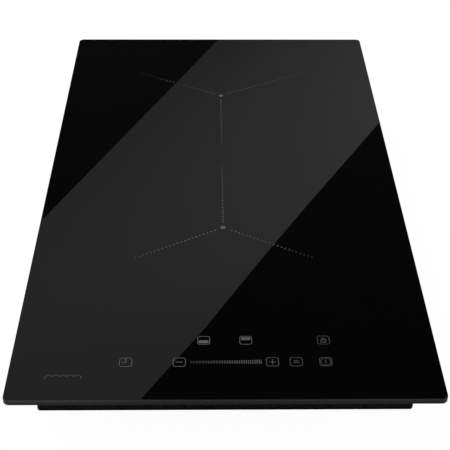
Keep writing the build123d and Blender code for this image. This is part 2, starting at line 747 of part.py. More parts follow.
# Heat sink: extruded aluminium with fins along the air flow, on the power devices
SINK_MIDDLE = (-40.0, -80.0)
SINK_SIZE = (60.0, 120.0)
SINK_BASE = 5.0
SINK_TOP = 34.0
FIN_THICK = 1.6
FIN_PITCH = 6.4
FINS = 10
DEVICE_THICK = 5.0
sink_z = board_top + DEVICE_THICK

with BuildPart() as heat_sink:
    with BuildSketch(Plane.XY.offset(sink_z)):
        with Locations(SINK_MIDDLE):
            Rectangle(*SINK_SIZE)
    extrude(amount=SINK_BASE)
    with BuildSketch(Plane.XY.offset(sink_z + SINK_BASE)):
        with Locations(SINK_MIDDLE):
            with GridLocations(FIN_PITCH, 0, FINS, 1):
                Rectangle(FIN_THICK, SINK_SIZE[1])
    extrude(amount=SINK_TOP - sink_z - SINK_BASE)
save("heat_sink", heat_sink)

# Power devices: moulded packages clamped between the board and the heat sink
IGBT_SPOTS = ((-55.0, -112.0), (-25.0, -112.0))
IGBT_SIZE = (16.0, 21.0)
RECTIFIER_SPOT = (-40.0, -50.0)
RECTIFIER_SIZE = (30.0, 20.0)
RECTIFIER_BEVEL = 3.0

with BuildPart() as igbt_packages:
    with BuildSketch(Plane.XY.offset(board_top)):
        with Locations(*IGBT_SPOTS):
            Rectangle(*IGBT_SIZE)
    extrude(amount=DEVICE_THICK)
save("igbt_packages", igbt_packages)

with BuildPart() as bridge_rectifier:
    with BuildSketch(Plane.XY.offset(board_top)):
        with Locations(RECTIFIER_SPOT):
            Rectangle(*RECTIFIER_SIZE)
    extrude(amount=DEVICE_THICK)
    chamfer(bridge_rectifier.edges().filter_by(Axis.Z).sort_by(Axis.X)[-1], RECTIFIER_BEVEL)
save("bridge_rectifier", bridge_rectifier)

# Film capacitors: resonant and smoothing ones on the power board, filter ones on the filter board
CAPACITOR_ROUND = 1.0
RESONANT_SPOTS = [(20.0, -150.0 + 24.0 * i) for i in range(4)]
SMOOTHING_SPOTS = ((20.0, -42.0), (20.0, -12.0))
FILTER_CAP_SPOTS = ((38.0, 152.0), (38.0, 136.0))
RESONANT_SIZE = (32.0, 18.0, 24.0)
SMOOTHING_SIZE = (32.0, 22.0, 25.0)
FILTER_CAP_SIZE = (26.0, 12.0, 20.0)


def film_capacitors(spots, size):
    """Box-shaped capacitors that stand on a board, with softened upper edges."""
    with BuildPart() as blocks:
        with BuildSketch(Plane.XY.offset(board_top)):
            with Locations(*spots):
                Rectangle(size[0], size[1])
        extrude(amount=size[2])
        fillet(blocks.edges().group_by(Axis.Z)[-1], CAPACITOR_ROUND)
    return blocks


resonant_capacitors = film_capacitors(RESONANT_SPOTS, RESONANT_SIZE)
save("resonant_capacitors", resonant_capacitors)
smoothing_capacitors = film_capacitors(SMOOTHING_SPOTS, SMOOTHING_SIZE)
save("smoothing_capacitors", smoothing_capacitors)
filter_capacitors = film_capacitors(FILTER_CAP_SPOTS, FILTER_CAP_SIZE)
save("filter_capacitors", filter_capacitors)

# Supply transformer: a wound bobbin between two core halves
TRANSFORMER_MIDDLE = (-80.0, 22.0)
TRANSFORMER_CORE = (26.0, 22.0, 4.0)
TRANSFORMER_BOBBIN = (20.0, 12.0, 4.0)
bobbin_side, bobbin_height, bobbin_corner = TRANSFORMER_BOBBIN
core_x, core_y, core_thick = TRANSFORMER_CORE

with BuildPart() as supply_transformer:
    for core_z in (board_top, board_top + core_thick + bobbin_height):
        with BuildSketch(Plane.XY.offset(core_z)):
            with Locations(TRANSFORMER_MIDDLE):
                Rectangle(core_x, core_y)
        extrude(amount=core_thick)
    with BuildSketch(Plane.XY.offset(board_top + core_thick)):
        with Locations(TRANSFORMER_MIDDLE):
            RectangleRounded(bobbin_side, bobbin_side, bobbin_corner)
    extrude(amount=bobbin_height)
save("supply_transformer", supply_transformer)

# Mains filter choke: a ferrite ring with two windings
CHOKE_MIDDLE = (48.0, 100.0)
CHOKE_OUTER = 18.0
CHOKE_INNER = 10.0
CHOKE_HEIGHT = 14.0
CHOKE_WIRE = 1.5
CHOKE_ARC = 120.0
CHOKE_STARTS = (30.0, 210.0)
choke_z = board_top + CHOKE_WIRE
choke_middle_z = choke_z + CHOKE_HEIGHT / 2
choke_ring = (CHOKE_OUTER + CHOKE_INNER) / 2
choke_wall = CHOKE_OUTER - CHOKE_INNER

with BuildPart() as choke_core:
    with BuildSketch(Plane.XY.offset(choke_z)):
        with Locations(CHOKE_MIDDLE):
            Circle(CHOKE_OUTER)
            Circle(CHOKE_INNER, mode=Mode.SUBTRACT)
    extrude(amount=CHOKE_HEIGHT)
save("choke_core", choke_core)

with BuildPart() as choke_winding:
    for start in CHOKE_STARTS:
        turn = math.radians(start)
        outward = (math.cos(turn), math.sin(turn), 0)
        across = (CHOKE_MIDDLE[0], CHOKE_MIDDLE[1], choke_middle_z)
        with BuildSketch(Plane(origin=across, x_dir=outward, z_dir=(outward[1], -outward[0], 0))):
            with Locations((choke_ring, 0)):
                Rectangle(choke_wall + 2 * CHOKE_WIRE, CHOKE_HEIGHT + 2 * CHOKE_WIRE)
                Rectangle(choke_wall, CHOKE_HEIGHT, mode=Mode.SUBTRACT)
        revolve(axis=Axis(across, (0, 0, 1)), revolution_arc=CHOKE_ARC)
save("choke_winding", choke_winding)

# Mains fuse: a cartridge in its holder
FUSE_MIDDLE = (90.0, 118.0)
FUSE_RADIUS = 3.2
FUSE_LENGTH = 26.0
FUSE_Z = 15.0
FUSE_HOLDER = (9.0, 30.0)

with BuildPart() as mains_fuse:
    with BuildSketch(Plane.XY.offset(board_top)):
        with Locations(FUSE_MIDDLE):
            Rectangle(*FUSE_HOLDER)
    extrude(amount=FUSE_Z - board_top)
    with BuildSketch(Plane.XZ.offset(-FUSE_MIDDLE[1])):
        with Locations((FUSE_MIDDLE[0], FUSE_Z)):
            Circle(FUSE_RADIUS)
    extrude(amount=FUSE_LENGTH / 2, both=True)
save("mains_fuse", mains_fuse)

# Terminal block: three screw terminals for the supply, on the floor at the right rear
TERMINAL_MIDDLE = (GLAND_X, 212.0)
TERMINAL_SIZE = (44.0, 22.0)
TERMINAL_HEIGHT = 20.0
TERMINAL_PITCH = 12.0
TERMINAL_EDGE = 1.0
TERMINAL_SCREW = 1.9
TERMINAL_HOLE = 10.0
TERMINAL_SHANK = 9.0
terminal_top = FLOOR + TERMINAL_HEIGHT
terminal_columns = [GLAND_X + TERMINAL_PITCH * i for i in (-1, 0, 1)]

with BuildPart() as terminal_block:
    with BuildSketch(Plane.XY.offset(FLOOR)):
        with Locations(TERMINAL_MIDDLE):
            Rectangle(*TERMINAL_SIZE)
    extrude(amount=TERMINAL_HEIGHT)
    chamfer(terminal_block.edges().group_by(Axis.Z)[-1], TERMINAL_EDGE)
    with BuildSketch(Plane.XY.offset(terminal_top)):
        with Locations(*[(column, TERMINAL_MIDDLE[1]) for column in terminal_columns]):
            Circle(TERMINAL_SCREW + THREAD_GAP)
    extrude(amount=-TERMINAL_HOLE, mode=Mode.SUBTRACT)
save("terminal_block", terminal_block)

terminal_planes = [Plane(origin=(column, TERMINAL_MIDDLE[1], terminal_top)) for column in terminal_columns]
terminal_screws = pan_screws(terminal_planes, TERMINAL_SCREW, TERMINAL_SHANK)
save("terminal_screws", terminal_screws)

# Mains wires: short insulated wires from the terminal block to the filter board
WIRE_RADIUS = 1.25
WIRE_BEND = 6.0
WIRE_LEVEL = 17.0
WIRE_END = 174.0

with BuildPart() as mains_wires:
    for column in terminal_columns:
        wire_start = (column, TERMINAL_MIDDLE[1] - TERMINAL_SIZE[1] / 2, WIRE_LEVEL)
        with BuildLine():
            FilletPolyline(
                wire_start, (column, WIRE_END, WIRE_LEVEL), (column, WIRE_END, board_top), radius=WIRE_BEND
            )
        with BuildSketch(Plane(origin=wire_start, z_dir=(0, -1, 0))):
            Circle(WIRE_RADIUS)
        sweep()
save("mains_wires", mains_wires)

# Cable gland: a nylon bush in the rear wall, with a collar outside and a hexagon inside
GLAND_BORE = 4.5
GLAND_COLLAR = 11.0
GLAND_COLLAR_THICK = 2.5
GLAND_NOSE = 9.0
GLAND_NOSE_LENGTH = 11.0
GLAND_TAPER = 6.0
GLAND_HEX = 11.0
GLAND_HEX_THICK = 4.0

with BuildPart() as cable_gland:
    with BuildSketch(gland_plane):
        Circle(GLAND_COLLAR)
    extrude(amount=GLAND_COLLAR_THICK)
    with BuildSketch(gland_plane.offset(GLAND_COLLAR_THICK)):
        Circle(GLAND_NOSE)
    extrude(amount=GLAND_NOSE_LENGTH, taper=GLAND_TAPER)
    with BuildSketch(gland_plane):
        Circle(GLAND_HOLE - 2 * THREAD_GAP)
    extrude(amount=-SHEET - GLAND_HEX_THICK)
    with BuildSketch(gland_plane.offset(-SHEET)):
        RegularPolygon(GLAND_HEX, 6)
    extrude(amount=-GLAND_HEX_THICK)
    with BuildSketch(gland_plane.offset(GLAND_COLLAR_THICK + GLAND_NOSE_LENGTH)):
        Circle(GLAND_BORE)
    extrude(amount=-(GLAND_COLLAR_THICK + GLAND_NOSE_LENGTH + SHEET + GLAND_HEX_THICK), mode=Mode.SUBTRACT)
save("cable_gland", cable_gland)

# Control carrier: a moulded dish on legs, on the shelf behind the tray's front wall
CARRIER_X = 100.0
CARRIER_FRONT = -237.0
CARRIER_REAR = -193.0
CARRIER_Z = 38.0
CARRIER_WALL = 2.0
CARRIER_HEIGHT = 6.0
CARRIER_CORNER = 3.0
LEG_RADIUS = 4.0
LEG_SPACING = (180.0, 20.0)
LEG_MIDDLE = (0.0, -221.0)
RIBBON_X = -40.0
RIBBON_WIDTH = 14.0
RIBBON_WINDOW = (20.0, 16.0)
RIBBON_WINDOW_SETBACK = 5.0
carrier_y = (CARRIER_FRONT + CARRIER_REAR) / 2
carrier_depth = CARRIER_REAR - CARRIER_FRONT
control_z = CARRIER_Z + CARRIER_HEIGHT
control_top = control_z + BOARD_THICK

with BuildPart() as control_carrier:
    with BuildSketch(Plane.XY.offset(CARRIER_Z)):
        with Locations((0, carrier_y)):
            RectangleRounded(2 * CARRIER_X, carrier_depth, CARRIER_CORNER)
    extrude(amount=CARRIER_HEIGHT)
    with BuildSketch(Plane.XY.offset(CARRIER_Z + CARRIER_WALL)):
        with Locations((0, carrier_y)):
            Rectangle(2 * (CARRIER_X - CARRIER_WALL), carrier_depth - 2 * CARRIER_WALL)
    extrude(amount=CARRIER_HEIGHT, mode=Mode.SUBTRACT)
    with BuildSketch(Plane.XY.offset(SHELF_Z + SHEET)):
        with Locations(LEG_MIDDLE):
            with GridLocations(*LEG_SPACING, 2, 2):
                Circle(LEG_RADIUS)
    extrude(amount=CARRIER_Z - SHELF_Z - SHEET)
    with BuildSketch(Plane.XY.offset(CARRIER_Z)):
        with Locations((RIBBON_X, CARRIER_REAR - RIBBON_WINDOW_SETBACK)):
            Rectangle(*RIBBON_WINDOW)
    extrude(amount=CARRIER_HEIGHT, mode=Mode.SUBTRACT)
save("control_carrier", control_carrier)

# Control board: the touch board, resting on the carrier's rim
CONTROL_BOARD_INSET = 0.5

with BuildPart() as control_board:
    with BuildSketch(Plane.XY.offset(control_z)):
        with Locations((0, carrier_y)):
            board_reach = CARRIER_X - CONTROL_BOARD_INSET
            RectangleRounded(2 * board_reach, carrier_depth - 2 * CONTROL_BOARD_INSET, BOARD_CORNER)
    extrude(amount=BOARD_THICK)
save("control_board", control_board)

# Touch pillars: conductive foam between the board and the glass, one under each key and the slider
PILLAR_RADIUS = 3.5
SLIDER_PAD = 5.0
key_spots = [(x, UPPER_KEY_ROW) for x in UPPER_KEYS_X] + [(x, LOWER_KEY_ROW) for x in LOWER_KEYS_X]

with BuildPart() as touch_pillars:
    with BuildSketch(Plane.XY.offset(control_top)):
        with Locations(*key_spots):
            Circle(PILLAR_RADIUS)
        with Locations((0, LOWER_KEY_ROW)):
            SlotOverall(SLIDER_LENGTH, SLIDER_PAD)
    extrude(amount=GLASS_Z - control_top)
save("touch_pillars", touch_pillars)

# Display modules: two zone digits and a timer, seen through the dark glass only when lit
DISPLAY_SPOTS = {(-36.0, -206.0): 11.0, (36.0, -206.0): 11.0, (-67.0, -206.0): 24.0}
DISPLAY_DEPTH = 16.0
DISPLAY_HEIGHT = 8.0

with BuildPart() as display_modules:
    for display_middle, display_width in DISPLAY_SPOTS.items():
        with BuildSketch(Plane.XY.offset(control_top)):
            with Locations(display_middle):
                Rectangle(display_width, DISPLAY_DEPTH)
        extrude(amount=DISPLAY_HEIGHT)
save("display_modules", display_modules)

# Buzzer: a round sounder with a small sound hole, on the touch board
BUZZER_MIDDLE = (88.0, -216.0)
BUZZER_RADIUS = 6.0
BUZZER_HEIGHT = 7.0
BUZZER_HOLE = 1.0
BUZZER_HOLE_DEPTH = 2.0

with BuildPart() as buzzer:
    with BuildSketch(Plane.XY.offset(control_top)):
        with Locations(BUZZER_MIDDLE):
            Circle(BUZZER_RADIUS)
    extrude(amount=BUZZER_HEIGHT)
    with BuildSketch(Plane.XY.offset(control_top + BUZZER_HEIGHT)):
        with Locations(BUZZER_MIDDLE):
            Circle(BUZZER_HOLE)
    extrude(amount=-BUZZER_HOLE_DEPTH, mode=Mode.SUBTRACT)
save("buzzer", buzzer)

# Ribbon cable: a flat cable with a plug under the touch board and a plug on the power board
RIBBON_THICK = 1.0
RIBBON_BEND = 4.0
PLUG_DEPTH = 6.0
PLUG_HEIGHT = 5.0
PLUG_FRONT = -206.0
RIBBON_DROP = -190.5
LOWER_PLUG = -181.0
ribbon_upper = control_z - PLUG_HEIGHT / 2
ribbon_lower = board_top + PLUG_HEIGHT / 2
ribbon_start = (RIBBON_X, PLUG_FRONT + PLUG_DEPTH, ribbon_upper)

with BuildPart() as ribbon_cable:
    with BuildLine():
        FilletPolyline(
            ribbon_start,
            (RIBBON_X, RIBBON_DROP, ribbon_upper),
            (RIBBON_X, RIBBON_DROP, ribbon_lower),
            (RIBBON_X, LOWER_PLUG, ribbon_lower),
            radius=RIBBON_BEND,
        )
    with BuildSketch(Plane(origin=ribbon_start, x_dir=(1, 0, 0), z_dir=(0, 1, 0))):
        Rectangle(RIBBON_WIDTH - 2 * RIBBON_THICK, RIBBON_THICK)
    sweep()
    with BuildSketch(Plane.XY.offset(control_z)):
        with Locations((RIBBON_X, PLUG_FRONT + PLUG_DEPTH / 2)):
            Rectangle(RIBBON_WIDTH, PLUG_DEPTH)
    extrude(amount=-PLUG_HEIGHT)
    with BuildSketch(Plane.XY.offset(board_top)):
        with Locations((RIBBON_X, LOWER_PLUG + PLUG_DEPTH / 2)):
            Rectangle(RIBBON_WIDTH, PLUG_DEPTH)
    extrude(amount=PLUG_HEIGHT)
save("ribbon_cable", ribbon_cable)

# Worktop clamps: folded steel angles that slide on a screw, with a pad that presses up on the worktop
CLAMP_THICK = 1.5
CLAMP_WIDTH = 22.0
CLAMP_GAP = 0.3
CLAMP_REACH = 143.0
CLAMP_SLOT_FIT = 0.3
CLAMP_SLOT_MARGIN = 3.0
CLAMP_BEND = 1.0
CLAMP_HEAD_GAP = 0.2
CLAMP_SCREW_GRIP = 4.0
clamp_inside = TRAY_X + CLAMP_GAP
slot_radius = CLAMP_SCREW_RADIUS + CLAMP_SLOT_FIT
slot_bottom = CLAMP_SCREW_Z - CLAMP_UP - slot_radius
slot_top = CLAMP_SCREW_Z + CLAMP_DOWN + slot_radius
clamp_top = slot_top + CLAMP_SLOT_MARGIN


def make_clamp(side_name, side, row_name, row):
    """One clamp bracket at its place for a 30 mm worktop."""
    with BuildPart() as clamp:
        with BuildSketch(Plane.XZ.offset(-row)):
            with BuildLine():
                Polyline(
                    (side * clamp_inside, clamp_top),
                    (side * clamp_inside, CLAMP_PAD_TOP - CLAMP_THICK),
                    (side * CLAMP_REACH, CLAMP_PAD_TOP - CLAMP_THICK),
                    (side * CLAMP_REACH, CLAMP_PAD_TOP),
                    (side * (clamp_inside + CLAMP_THICK), CLAMP_PAD_TOP),
                    (side * (clamp_inside + CLAMP_THICK), clamp_top),
                    close=True,
                )
            make_face()
        extrude(amount=CLAMP_WIDTH / 2, both=True)
        bend_edges = clamp.edges().filter_by(Axis.Y)
        inner_bend = bend_edges.sort_by_distance((side * (clamp_inside + CLAMP_THICK), row, CLAMP_PAD_TOP))[0]
        fillet(inner_bend, CLAMP_BEND)
        slot_middle = (side * clamp_inside, row, (slot_bottom + slot_top) / 2)
        with BuildSketch(Plane(origin=slot_middle, x_dir=(0, 0, 1), z_dir=(side, 0, 0))):
            SlotOverall(slot_top - slot_bottom, 2 * slot_radius)
        extrude(amount=CLAMP_THICK, mode=Mode.SUBTRACT)
    save(f"clamp_{side_name}_{row_name}", clamp)


for side_name, side in (("left", -1), ("right", 1)):
    for row_name, row in CLAMP_ROWS.items():
        make_clamp(side_name, side, row_name, row)

# Clamp screws: heads just clear of the brackets, shanks in the tray's walls
clamp_head_offset = CLAMP_GAP + CLAMP_THICK + CLAMP_HEAD_GAP
clamp_head_planes = [plane.offset(clamp_head_offset) for plane in clamp_screw_planes]
clamp_screws = pan_screws(clamp_head_planes, CLAMP_SCREW_RADIUS, clamp_head_offset + CLAMP_SCREW_GRIP)
save("clamp_screws", clamp_screws)
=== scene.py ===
import math

import bmesh
import bpy
from mathutils import Matrix, Vector


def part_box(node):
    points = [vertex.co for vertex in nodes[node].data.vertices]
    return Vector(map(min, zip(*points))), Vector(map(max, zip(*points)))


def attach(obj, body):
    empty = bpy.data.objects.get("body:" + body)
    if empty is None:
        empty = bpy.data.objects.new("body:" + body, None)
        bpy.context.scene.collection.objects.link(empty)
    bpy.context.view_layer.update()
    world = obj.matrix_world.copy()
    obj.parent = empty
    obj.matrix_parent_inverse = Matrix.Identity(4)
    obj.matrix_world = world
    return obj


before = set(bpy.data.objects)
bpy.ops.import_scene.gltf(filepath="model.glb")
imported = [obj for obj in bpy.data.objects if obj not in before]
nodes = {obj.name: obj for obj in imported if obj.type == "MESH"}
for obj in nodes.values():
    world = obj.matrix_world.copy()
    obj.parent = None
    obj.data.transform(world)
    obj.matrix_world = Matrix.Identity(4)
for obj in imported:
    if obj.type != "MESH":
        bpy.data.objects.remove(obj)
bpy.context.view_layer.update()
bpy.ops.object.select_all(action="DESELECT")


# Base tray: a pan deep-drawn from 1 mm steel sheet, with a shallow front, pressed ribs and air slots.
# It is sprayed with black powder and stoved, which leaves a pebbled grain in a half-matt skin.
class Signal:
    """A shader socket. Arithmetic on it adds Math nodes, and node() adds any other kind to its tree."""

    def __init__(self, socket):
        self.socket = socket

    def node(self, kind, settings=None, sockets=None, out=0):
        """Adds a node, gives it its settings and then its sockets, and hands back one of its outputs."""
        tree = self.socket.id_data
        added = tree.nodes.new("ShaderNode" + kind)
        for setting, value in (settings or {}).items():
            setattr(added, setting, value)
        for name, value in (sockets or {}).items():
            if isinstance(value, Signal):
                tree.links.new(value.socket, added.inputs[name])
            else:
                added.inputs[name].default_value = value
        return Signal(added.outputs[out]) if len(added.outputs) else None

    def math(self, operation, *values):
        return self.node("Math", {"operation": operation}, dict(enumerate(values)))

    def __add__(self, other):
        return self.math("ADD", self, other)

    def __sub__(self, other):
        return self.math("SUBTRACT", self, other)

    def __rsub__(self, other):
        return self.math("SUBTRACT", other, self)

    def __mul__(self, other):
        return self.math("MULTIPLY", self, other)

    def __abs__(self):
        return self.math("ABSOLUTE", self)

    def __gt__(self, other):
        return self.math("GREATER_THAN", self, other)

    def __lt__(self, other):
        return self.math("LESS_THAN", self, other)

    __radd__ = __add__
    __rmul__ = __mul__

    def spread(self, low, high):
        """0 at low, 1 at high, and held there beyond them."""
        limits = {"Value": self, "From Min": low, "From Max": high}
        return self.node("MapRange", {"clamp": True}, limits)

    def tint(self, first, second):
        """The first colour where this is 0, the second where it is 1."""
        return self.node("Mix", {"data_type": "RGBA"}, {0: self, 6: first, 7: second}, out=2)

    def axes(self):
        """The X, Y and Z of a vector."""
        parts = self.node("SeparateXYZ", {}, {"Vector": self}).socket.node.outputs
        return [Signal(part) for part in parts]


def grey(level):
    return (level, level, level, 1.0)


def empty_tree(owner):
    """Gives a material or a world its node tree, with nothing in it."""
    owner.use_nodes = True
    owner.node_tree.nodes.clear()
    return owner.node_tree


def open_finish(name):
    """Starts a material, and hands back it and the Object coordinates that its pattern lies in."""
    material = bpy.data.materials.new(name)
    return material, Signal(empty_tree(material).nodes.new("ShaderNodeTexCoord").outputs["Object"])


def close_finish(place, colour, roughness, height, depth, plain=None):
    """Ends a material in one Principled shader, with a Bump as deep as depth, in metres."""
    bump = place.node("Bump", {}, {"Height": height, "Distance": depth})
    sockets = {"Base Color": colour, "Roughness": roughness, "Normal": bump, **(plain or {})}
    place.node("OutputMaterial", {}, {"Surface": place.node("BsdfPrincipled", {}, sockets)})


def dress(material, *names):
    """Puts a finish on CAD nodes."""
    for name in names:
        for slot in nodes[name].material_slots:
            slot.material = material


TRAY_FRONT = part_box("base_tray")[0][1]
FRONT_FOOT = 0.0323


def powder_coat():
    """The coat's high spots are paler. Round the low bend of the front wall its colour is darkened as
    painted shade.
    """
    material, place = open_finish("black_powder_coat")
    pebbles = place.node("TexVoronoi", {"feature": "SMOOTH_F1"}, {"Vector": place, "Scale": 520.0})
    skin = place.node("TexNoise", {}, {"Vector": place, "Scale": 1400.0, "Detail": 2.0})
    dust = place.node("TexNoise", {}, {"Vector": place, "Scale": 14.0, "Detail": 4.0}).spread(0.35, 0.7)
    height = pebbles * 0.6 + skin * 0.7
    wall_near, wall_far = TRAY_FRONT + 0.0005, TRAY_FRONT + 0.0015
    shade_low, shade_high = FRONT_FOOT + 0.0017, FRONT_FOOT + 0.0037
    _, y, z = place.axes()
    # Painted shade: the colour is darkened on the low bend at the foot of the front wall.
    painted_bend_shade = (1.0 - y.spread(wall_near, wall_far)) * (1.0 - z.spread(shade_low, shade_high))
    grain = height.spread(0.46, 0.66) * (1.0 - painted_bend_shade)
    colour = grain.tint(grey(0.0012), grey(0.019))
    close_finish(place, colour, 0.40 + 0.14 * dust, height, 0.00016, {"Specular IOR Level": 0.05})
    return material


dress(powder_coat(), "base_tray")


# Exhaust grille, fan guard, fan frame, impeller, cable gland and buzzer: black glass-filled nylon mouldings.
# The tool is spark eroded, so each has a fine even grain. Most snap or screw into the tray.
# The impeller runs on its shaft, and the buzzer is soldered to its board.
def grained(name, colours, scale, gloss, depth, stretch=(1.0, 1.0, 1.0), plain=None):
    """A finish with one grain, which shifts its colour and its roughness between two values each."""
    material, place = open_finish(name)
    laid = place.node("Mapping", {}, {"Vector": place, "Scale": stretch})
    grain = place.node("TexNoise", {}, {"Vector": laid, "Scale": scale, "Detail": 4.0})
    cloud = place.node("TexNoise", {}, {"Vector": laid, "Scale": scale / 24.0, "Detail": 2.0})
    share = (grain * 0.6 + cloud * 0.4).spread(0.32, 0.68)
    roughness = gloss[0] + (gloss[1] - gloss[0]) * share
    close_finish(place, share.tint(*colours), roughness, grain, depth, plain)
    return material


nylon = grained("black_nylon", (grey(0.016), grey(0.027)), 2600.0, (0.44, 0.58), 0.00006)
dress(nylon, "exhaust_grille", "fan_guard", "fan_frame", "fan_impeller", "cable_gland", "buzzer")


# Inside the fan: a sintered bronze sleeve, laminated stator, bonded ring magnet and ground steel shaft.
# The sleeve is pressed into the frame, and the magnet is glued into the impeller's hub.
bronze = (0.50, 0.31, 0.11, 1.0), (0.64, 0.43, 0.17, 1.0)
shaft_steel = grey(0.52), grey(0.62)
dress(
    grained("sintered_bronze", bronze, 3500.0, (0.30, 0.46), 0.00003, plain={"Metallic": 1.0}),
    "fan_bearing",
)
dress(grained("bonded_magnet", (grey(0.05), grey(0.09)), 2800.0, (0.5, 0.66), 0.00004), "fan_magnet")
dress(
    grained("ground_steel", shaft_steel, 900.0, (0.16, 0.26), 0.000006, (1.0, 1.0, 12.0), {"Metallic": 1.0}),
    "fan_shaft",
)


def lamination_stack():
    material, place = open_finish("stator_laminations")
    sheets_per_metre = 2000.0
    sheet = place.axes()[2] * sheets_per_metre
    gap = abs(sheet.math("FRACT", sheet) - 0.5).spread(0.30, 0.48)
    rust = place.node("TexNoise", {}, {"Vector": place, "Scale": 420.0, "Detail": 3.0}).spread(0.4, 0.7)
    steel = rust.tint((0.30, 0.28, 0.25, 1.0), (0.24, 0.16, 0.10, 1.0))
    colour = gap.tint(steel, grey(0.03))
    close_finish(place, colour, 0.4 + 0.2 * rust, 1.0 - gap, 0.00008, {"Metallic": 0.8})
    return material


dress(lamination_stack(), "fan_stator")


# Screws, standoffs, posts, clamp brackets and the frame under the glass: cold-formed steel, zinc plated.
# The plating is passivated, so it clouds from blue-white to a faint straw, with fine drawing lines.
def zinc_plate():
    material, place = open_finish("zinc_plate")
    drawn = place.node("Mapping", {}, {"Vector": place, "Scale": (1.0, 1.0, 0.15)})
    lines = place.node("TexNoise", {}, {"Vector": drawn, "Scale": 2400.0, "Detail": 3.0})
    cloud = place.node("TexNoise", {}, {"Vector": place, "Scale": 70.0, "Detail": 4.0}).spread(0.38, 0.66)
    spangle = place.node("TexVoronoi", {}, {"Vector": place, "Scale": 380.0}).spread(0.0, 0.9)
    plating = cloud.tint((0.50, 0.52, 0.55, 1.0), (0.58, 0.56, 0.50, 1.0))
    colour = (spangle * 0.25).tint(plating, grey(0.42))
    roughness = 0.27 + 0.10 * cloud + 0.06 * lines
    close_finish(place, colour, roughness, lines, 0.00002, {"Metallic": 1.0})
    return material


zinc = zinc_plate()
dress(zinc, "fan_screws", "board_standoffs", "coil_plate_posts", "chassis_screws", "terminal_screws")
dress(zinc, "glass_frame", "frame_screws", "clamp_screws")
dress(zinc, *(f"clamp_{side}_{row}" for side in ("left", "right") for row in ("front", "rear")))


# Power, filter and control boards: glass-epoxy laminate under green solder mask, on standoffs.
# Copper tracks show as raised, paler runs, and the joints are tinned pads on a regular grid.
def solder_mask():
    material, place = open_finish("green_solder_mask")
    cells = place.node("TexVoronoi", {"distance": "MANHATTAN"}, {"Vector": place, "Scale": 110.0})
    run = cells * 9.0
    track = run.math("FRACT", run) < 0.36
    grid = place.node("TexVoronoi", {}, {"Vector": place, "Scale": 197.0, "Randomness": 0.0})
    chosen = place.node("TexNoise", {}, {"Vector": place, "Scale": 60.0}) > 0.56
    pad = (grid < 0.2) * chosen
    weave = place.node("TexNoise", {}, {"Vector": place, "Scale": 1500.0})
    mask = track.tint((0.008, 0.060, 0.022, 1.0), (0.020, 0.125, 0.050, 1.0))
    colour = pad.tint(mask, (0.62, 0.62, 0.60, 1.0))
    height = track * 0.5 + pad + weave * 0.15
    close_finish(place, colour, 0.34 - 0.06 * pad, height, 0.00004, {"Metallic": pad})
    return material


dress(solder_mask(), "power_board", "filter_board", "control_board")


# Heat sink and coil plate: bare aluminium, one extruded along the air's way and one rolled and punched.
# The die and the rolls leave long fine lines in the metal, and handling leaves it slightly clouded.
mill_aluminium = (0.60, 0.61, 0.62, 1.0), (0.76, 0.77, 0.78, 1.0)
bare = {"Metallic": 1.0}
dress(
    grained("drawn_aluminium", mill_aluminium, 1800.0, (0.26, 0.40), 0.00002, (1.0, 0.02, 1.0), bare),
    "heat_sink",
)
dress(
    grained("rolled_aluminium", mill_aluminium, 1300.0, (0.30, 0.44), 0.00001, (0.03, 1.0, 1.0), bare),
    "coil_plate",
)


# Power devices, capacitors and transformer on the boards: epoxy packages, boxed film capacitors and ferrite.
# Each is moulded or potted, soldered to its board, and the devices are clipped under the heat sink.
dress(
    grained("epoxy_package", (grey(0.014), grey(0.024)), 1900.0, (0.36, 0.50), 0.00003),
    "igbt_packages",
    "bridge_rectifier",
)
boxed = (0.48, 0.42, 0.32, 1.0), (0.57, 0.51, 0.40, 1.0)
dress(
    grained("capacitor_box", boxed, 700.0, (0.28, 0.40), 0.00002),
    "resonant_capacitors",
    "smoothing_capacitors",
    "filter_capacitors",
)
dress(
    grained("sintered_ferrite", (grey(0.040), grey(0.075)), 1500.0, (0.5, 0.7), 0.00006),
    "supply_transformer",
    "choke_core",
    "front_coil_ferrites",
    "rear_coil_ferrites",
)


# Choke winding: one layer of enamelled copper wire wound by hand round the ring core.
# The varnish darkens between the turns, so each turn keeps a bright back.
def wound_copper(name, centre, pitch, varnish, bright):
    """Copper turns round a centre: fine rings a pitch apart, slightly wandering."""
    material, place = open_finish(name)
    centred = place.node("Mapping", {}, {"Vector": place, "Location": [-c for c in centre]})
    rings = {"Vector": centred, "Scale": math.pi / 10.0 / pitch, "Distortion": 1.5, "Detail": 2.0}
    turns = place.node("TexWave", {"wave_type": "RINGS", "rings_direction": "Z"}, rings, out=1)
    stain = place.node("TexNoise", {}, {"Vector": place, "Scale": 160.0, "Detail": 3.0}).spread(0.35, 0.7)
    colour = (turns * 0.7 + stain * 0.3).tint(varnish, bright)
    close_finish(place, colour, 0.30 + 0.14 * stain, turns, 0.00012, {"Metallic": 1.0})
    return material


CHOKE_MIDDLE, CHOKE_WIRE = (0.048, 0.100, 0.0), 0.0012
enamel = (0.26, 0.09, 0.03, 1.0), (0.62, 0.27, 0.11, 1.0)
dress(wound_copper("choke_wire", CHOKE_MIDDLE, CHOKE_WIRE, *enamel), "choke_winding")


# Mains fuse: a white ceramic tube with a nickel-plated brass cap crimped on each end.
# It is clipped in its holder on the filter board.
def fuse_cartridge():
    material, place = open_finish("fuse_cartridge")
    middle, cap_start = 0.118, 0.0098
    cap = abs(place.axes()[1] - middle) > cap_start
    glaze = place.node("TexNoise", {}, {"Vector": place, "Scale": 900.0, "Detail": 3.0})
    ceramic = glaze.tint((0.70, 0.69, 0.64, 1.0), (0.80, 0.79, 0.75, 1.0))
    colour = cap.tint(ceramic, (0.60, 0.58, 0.54, 1.0))
    close_finish(place, colour, 0.42 - 0.16 * cap, glaze, 0.00002, {"Metallic": cap})
    return material


dress(fuse_cartridge(), "mains_fuse")


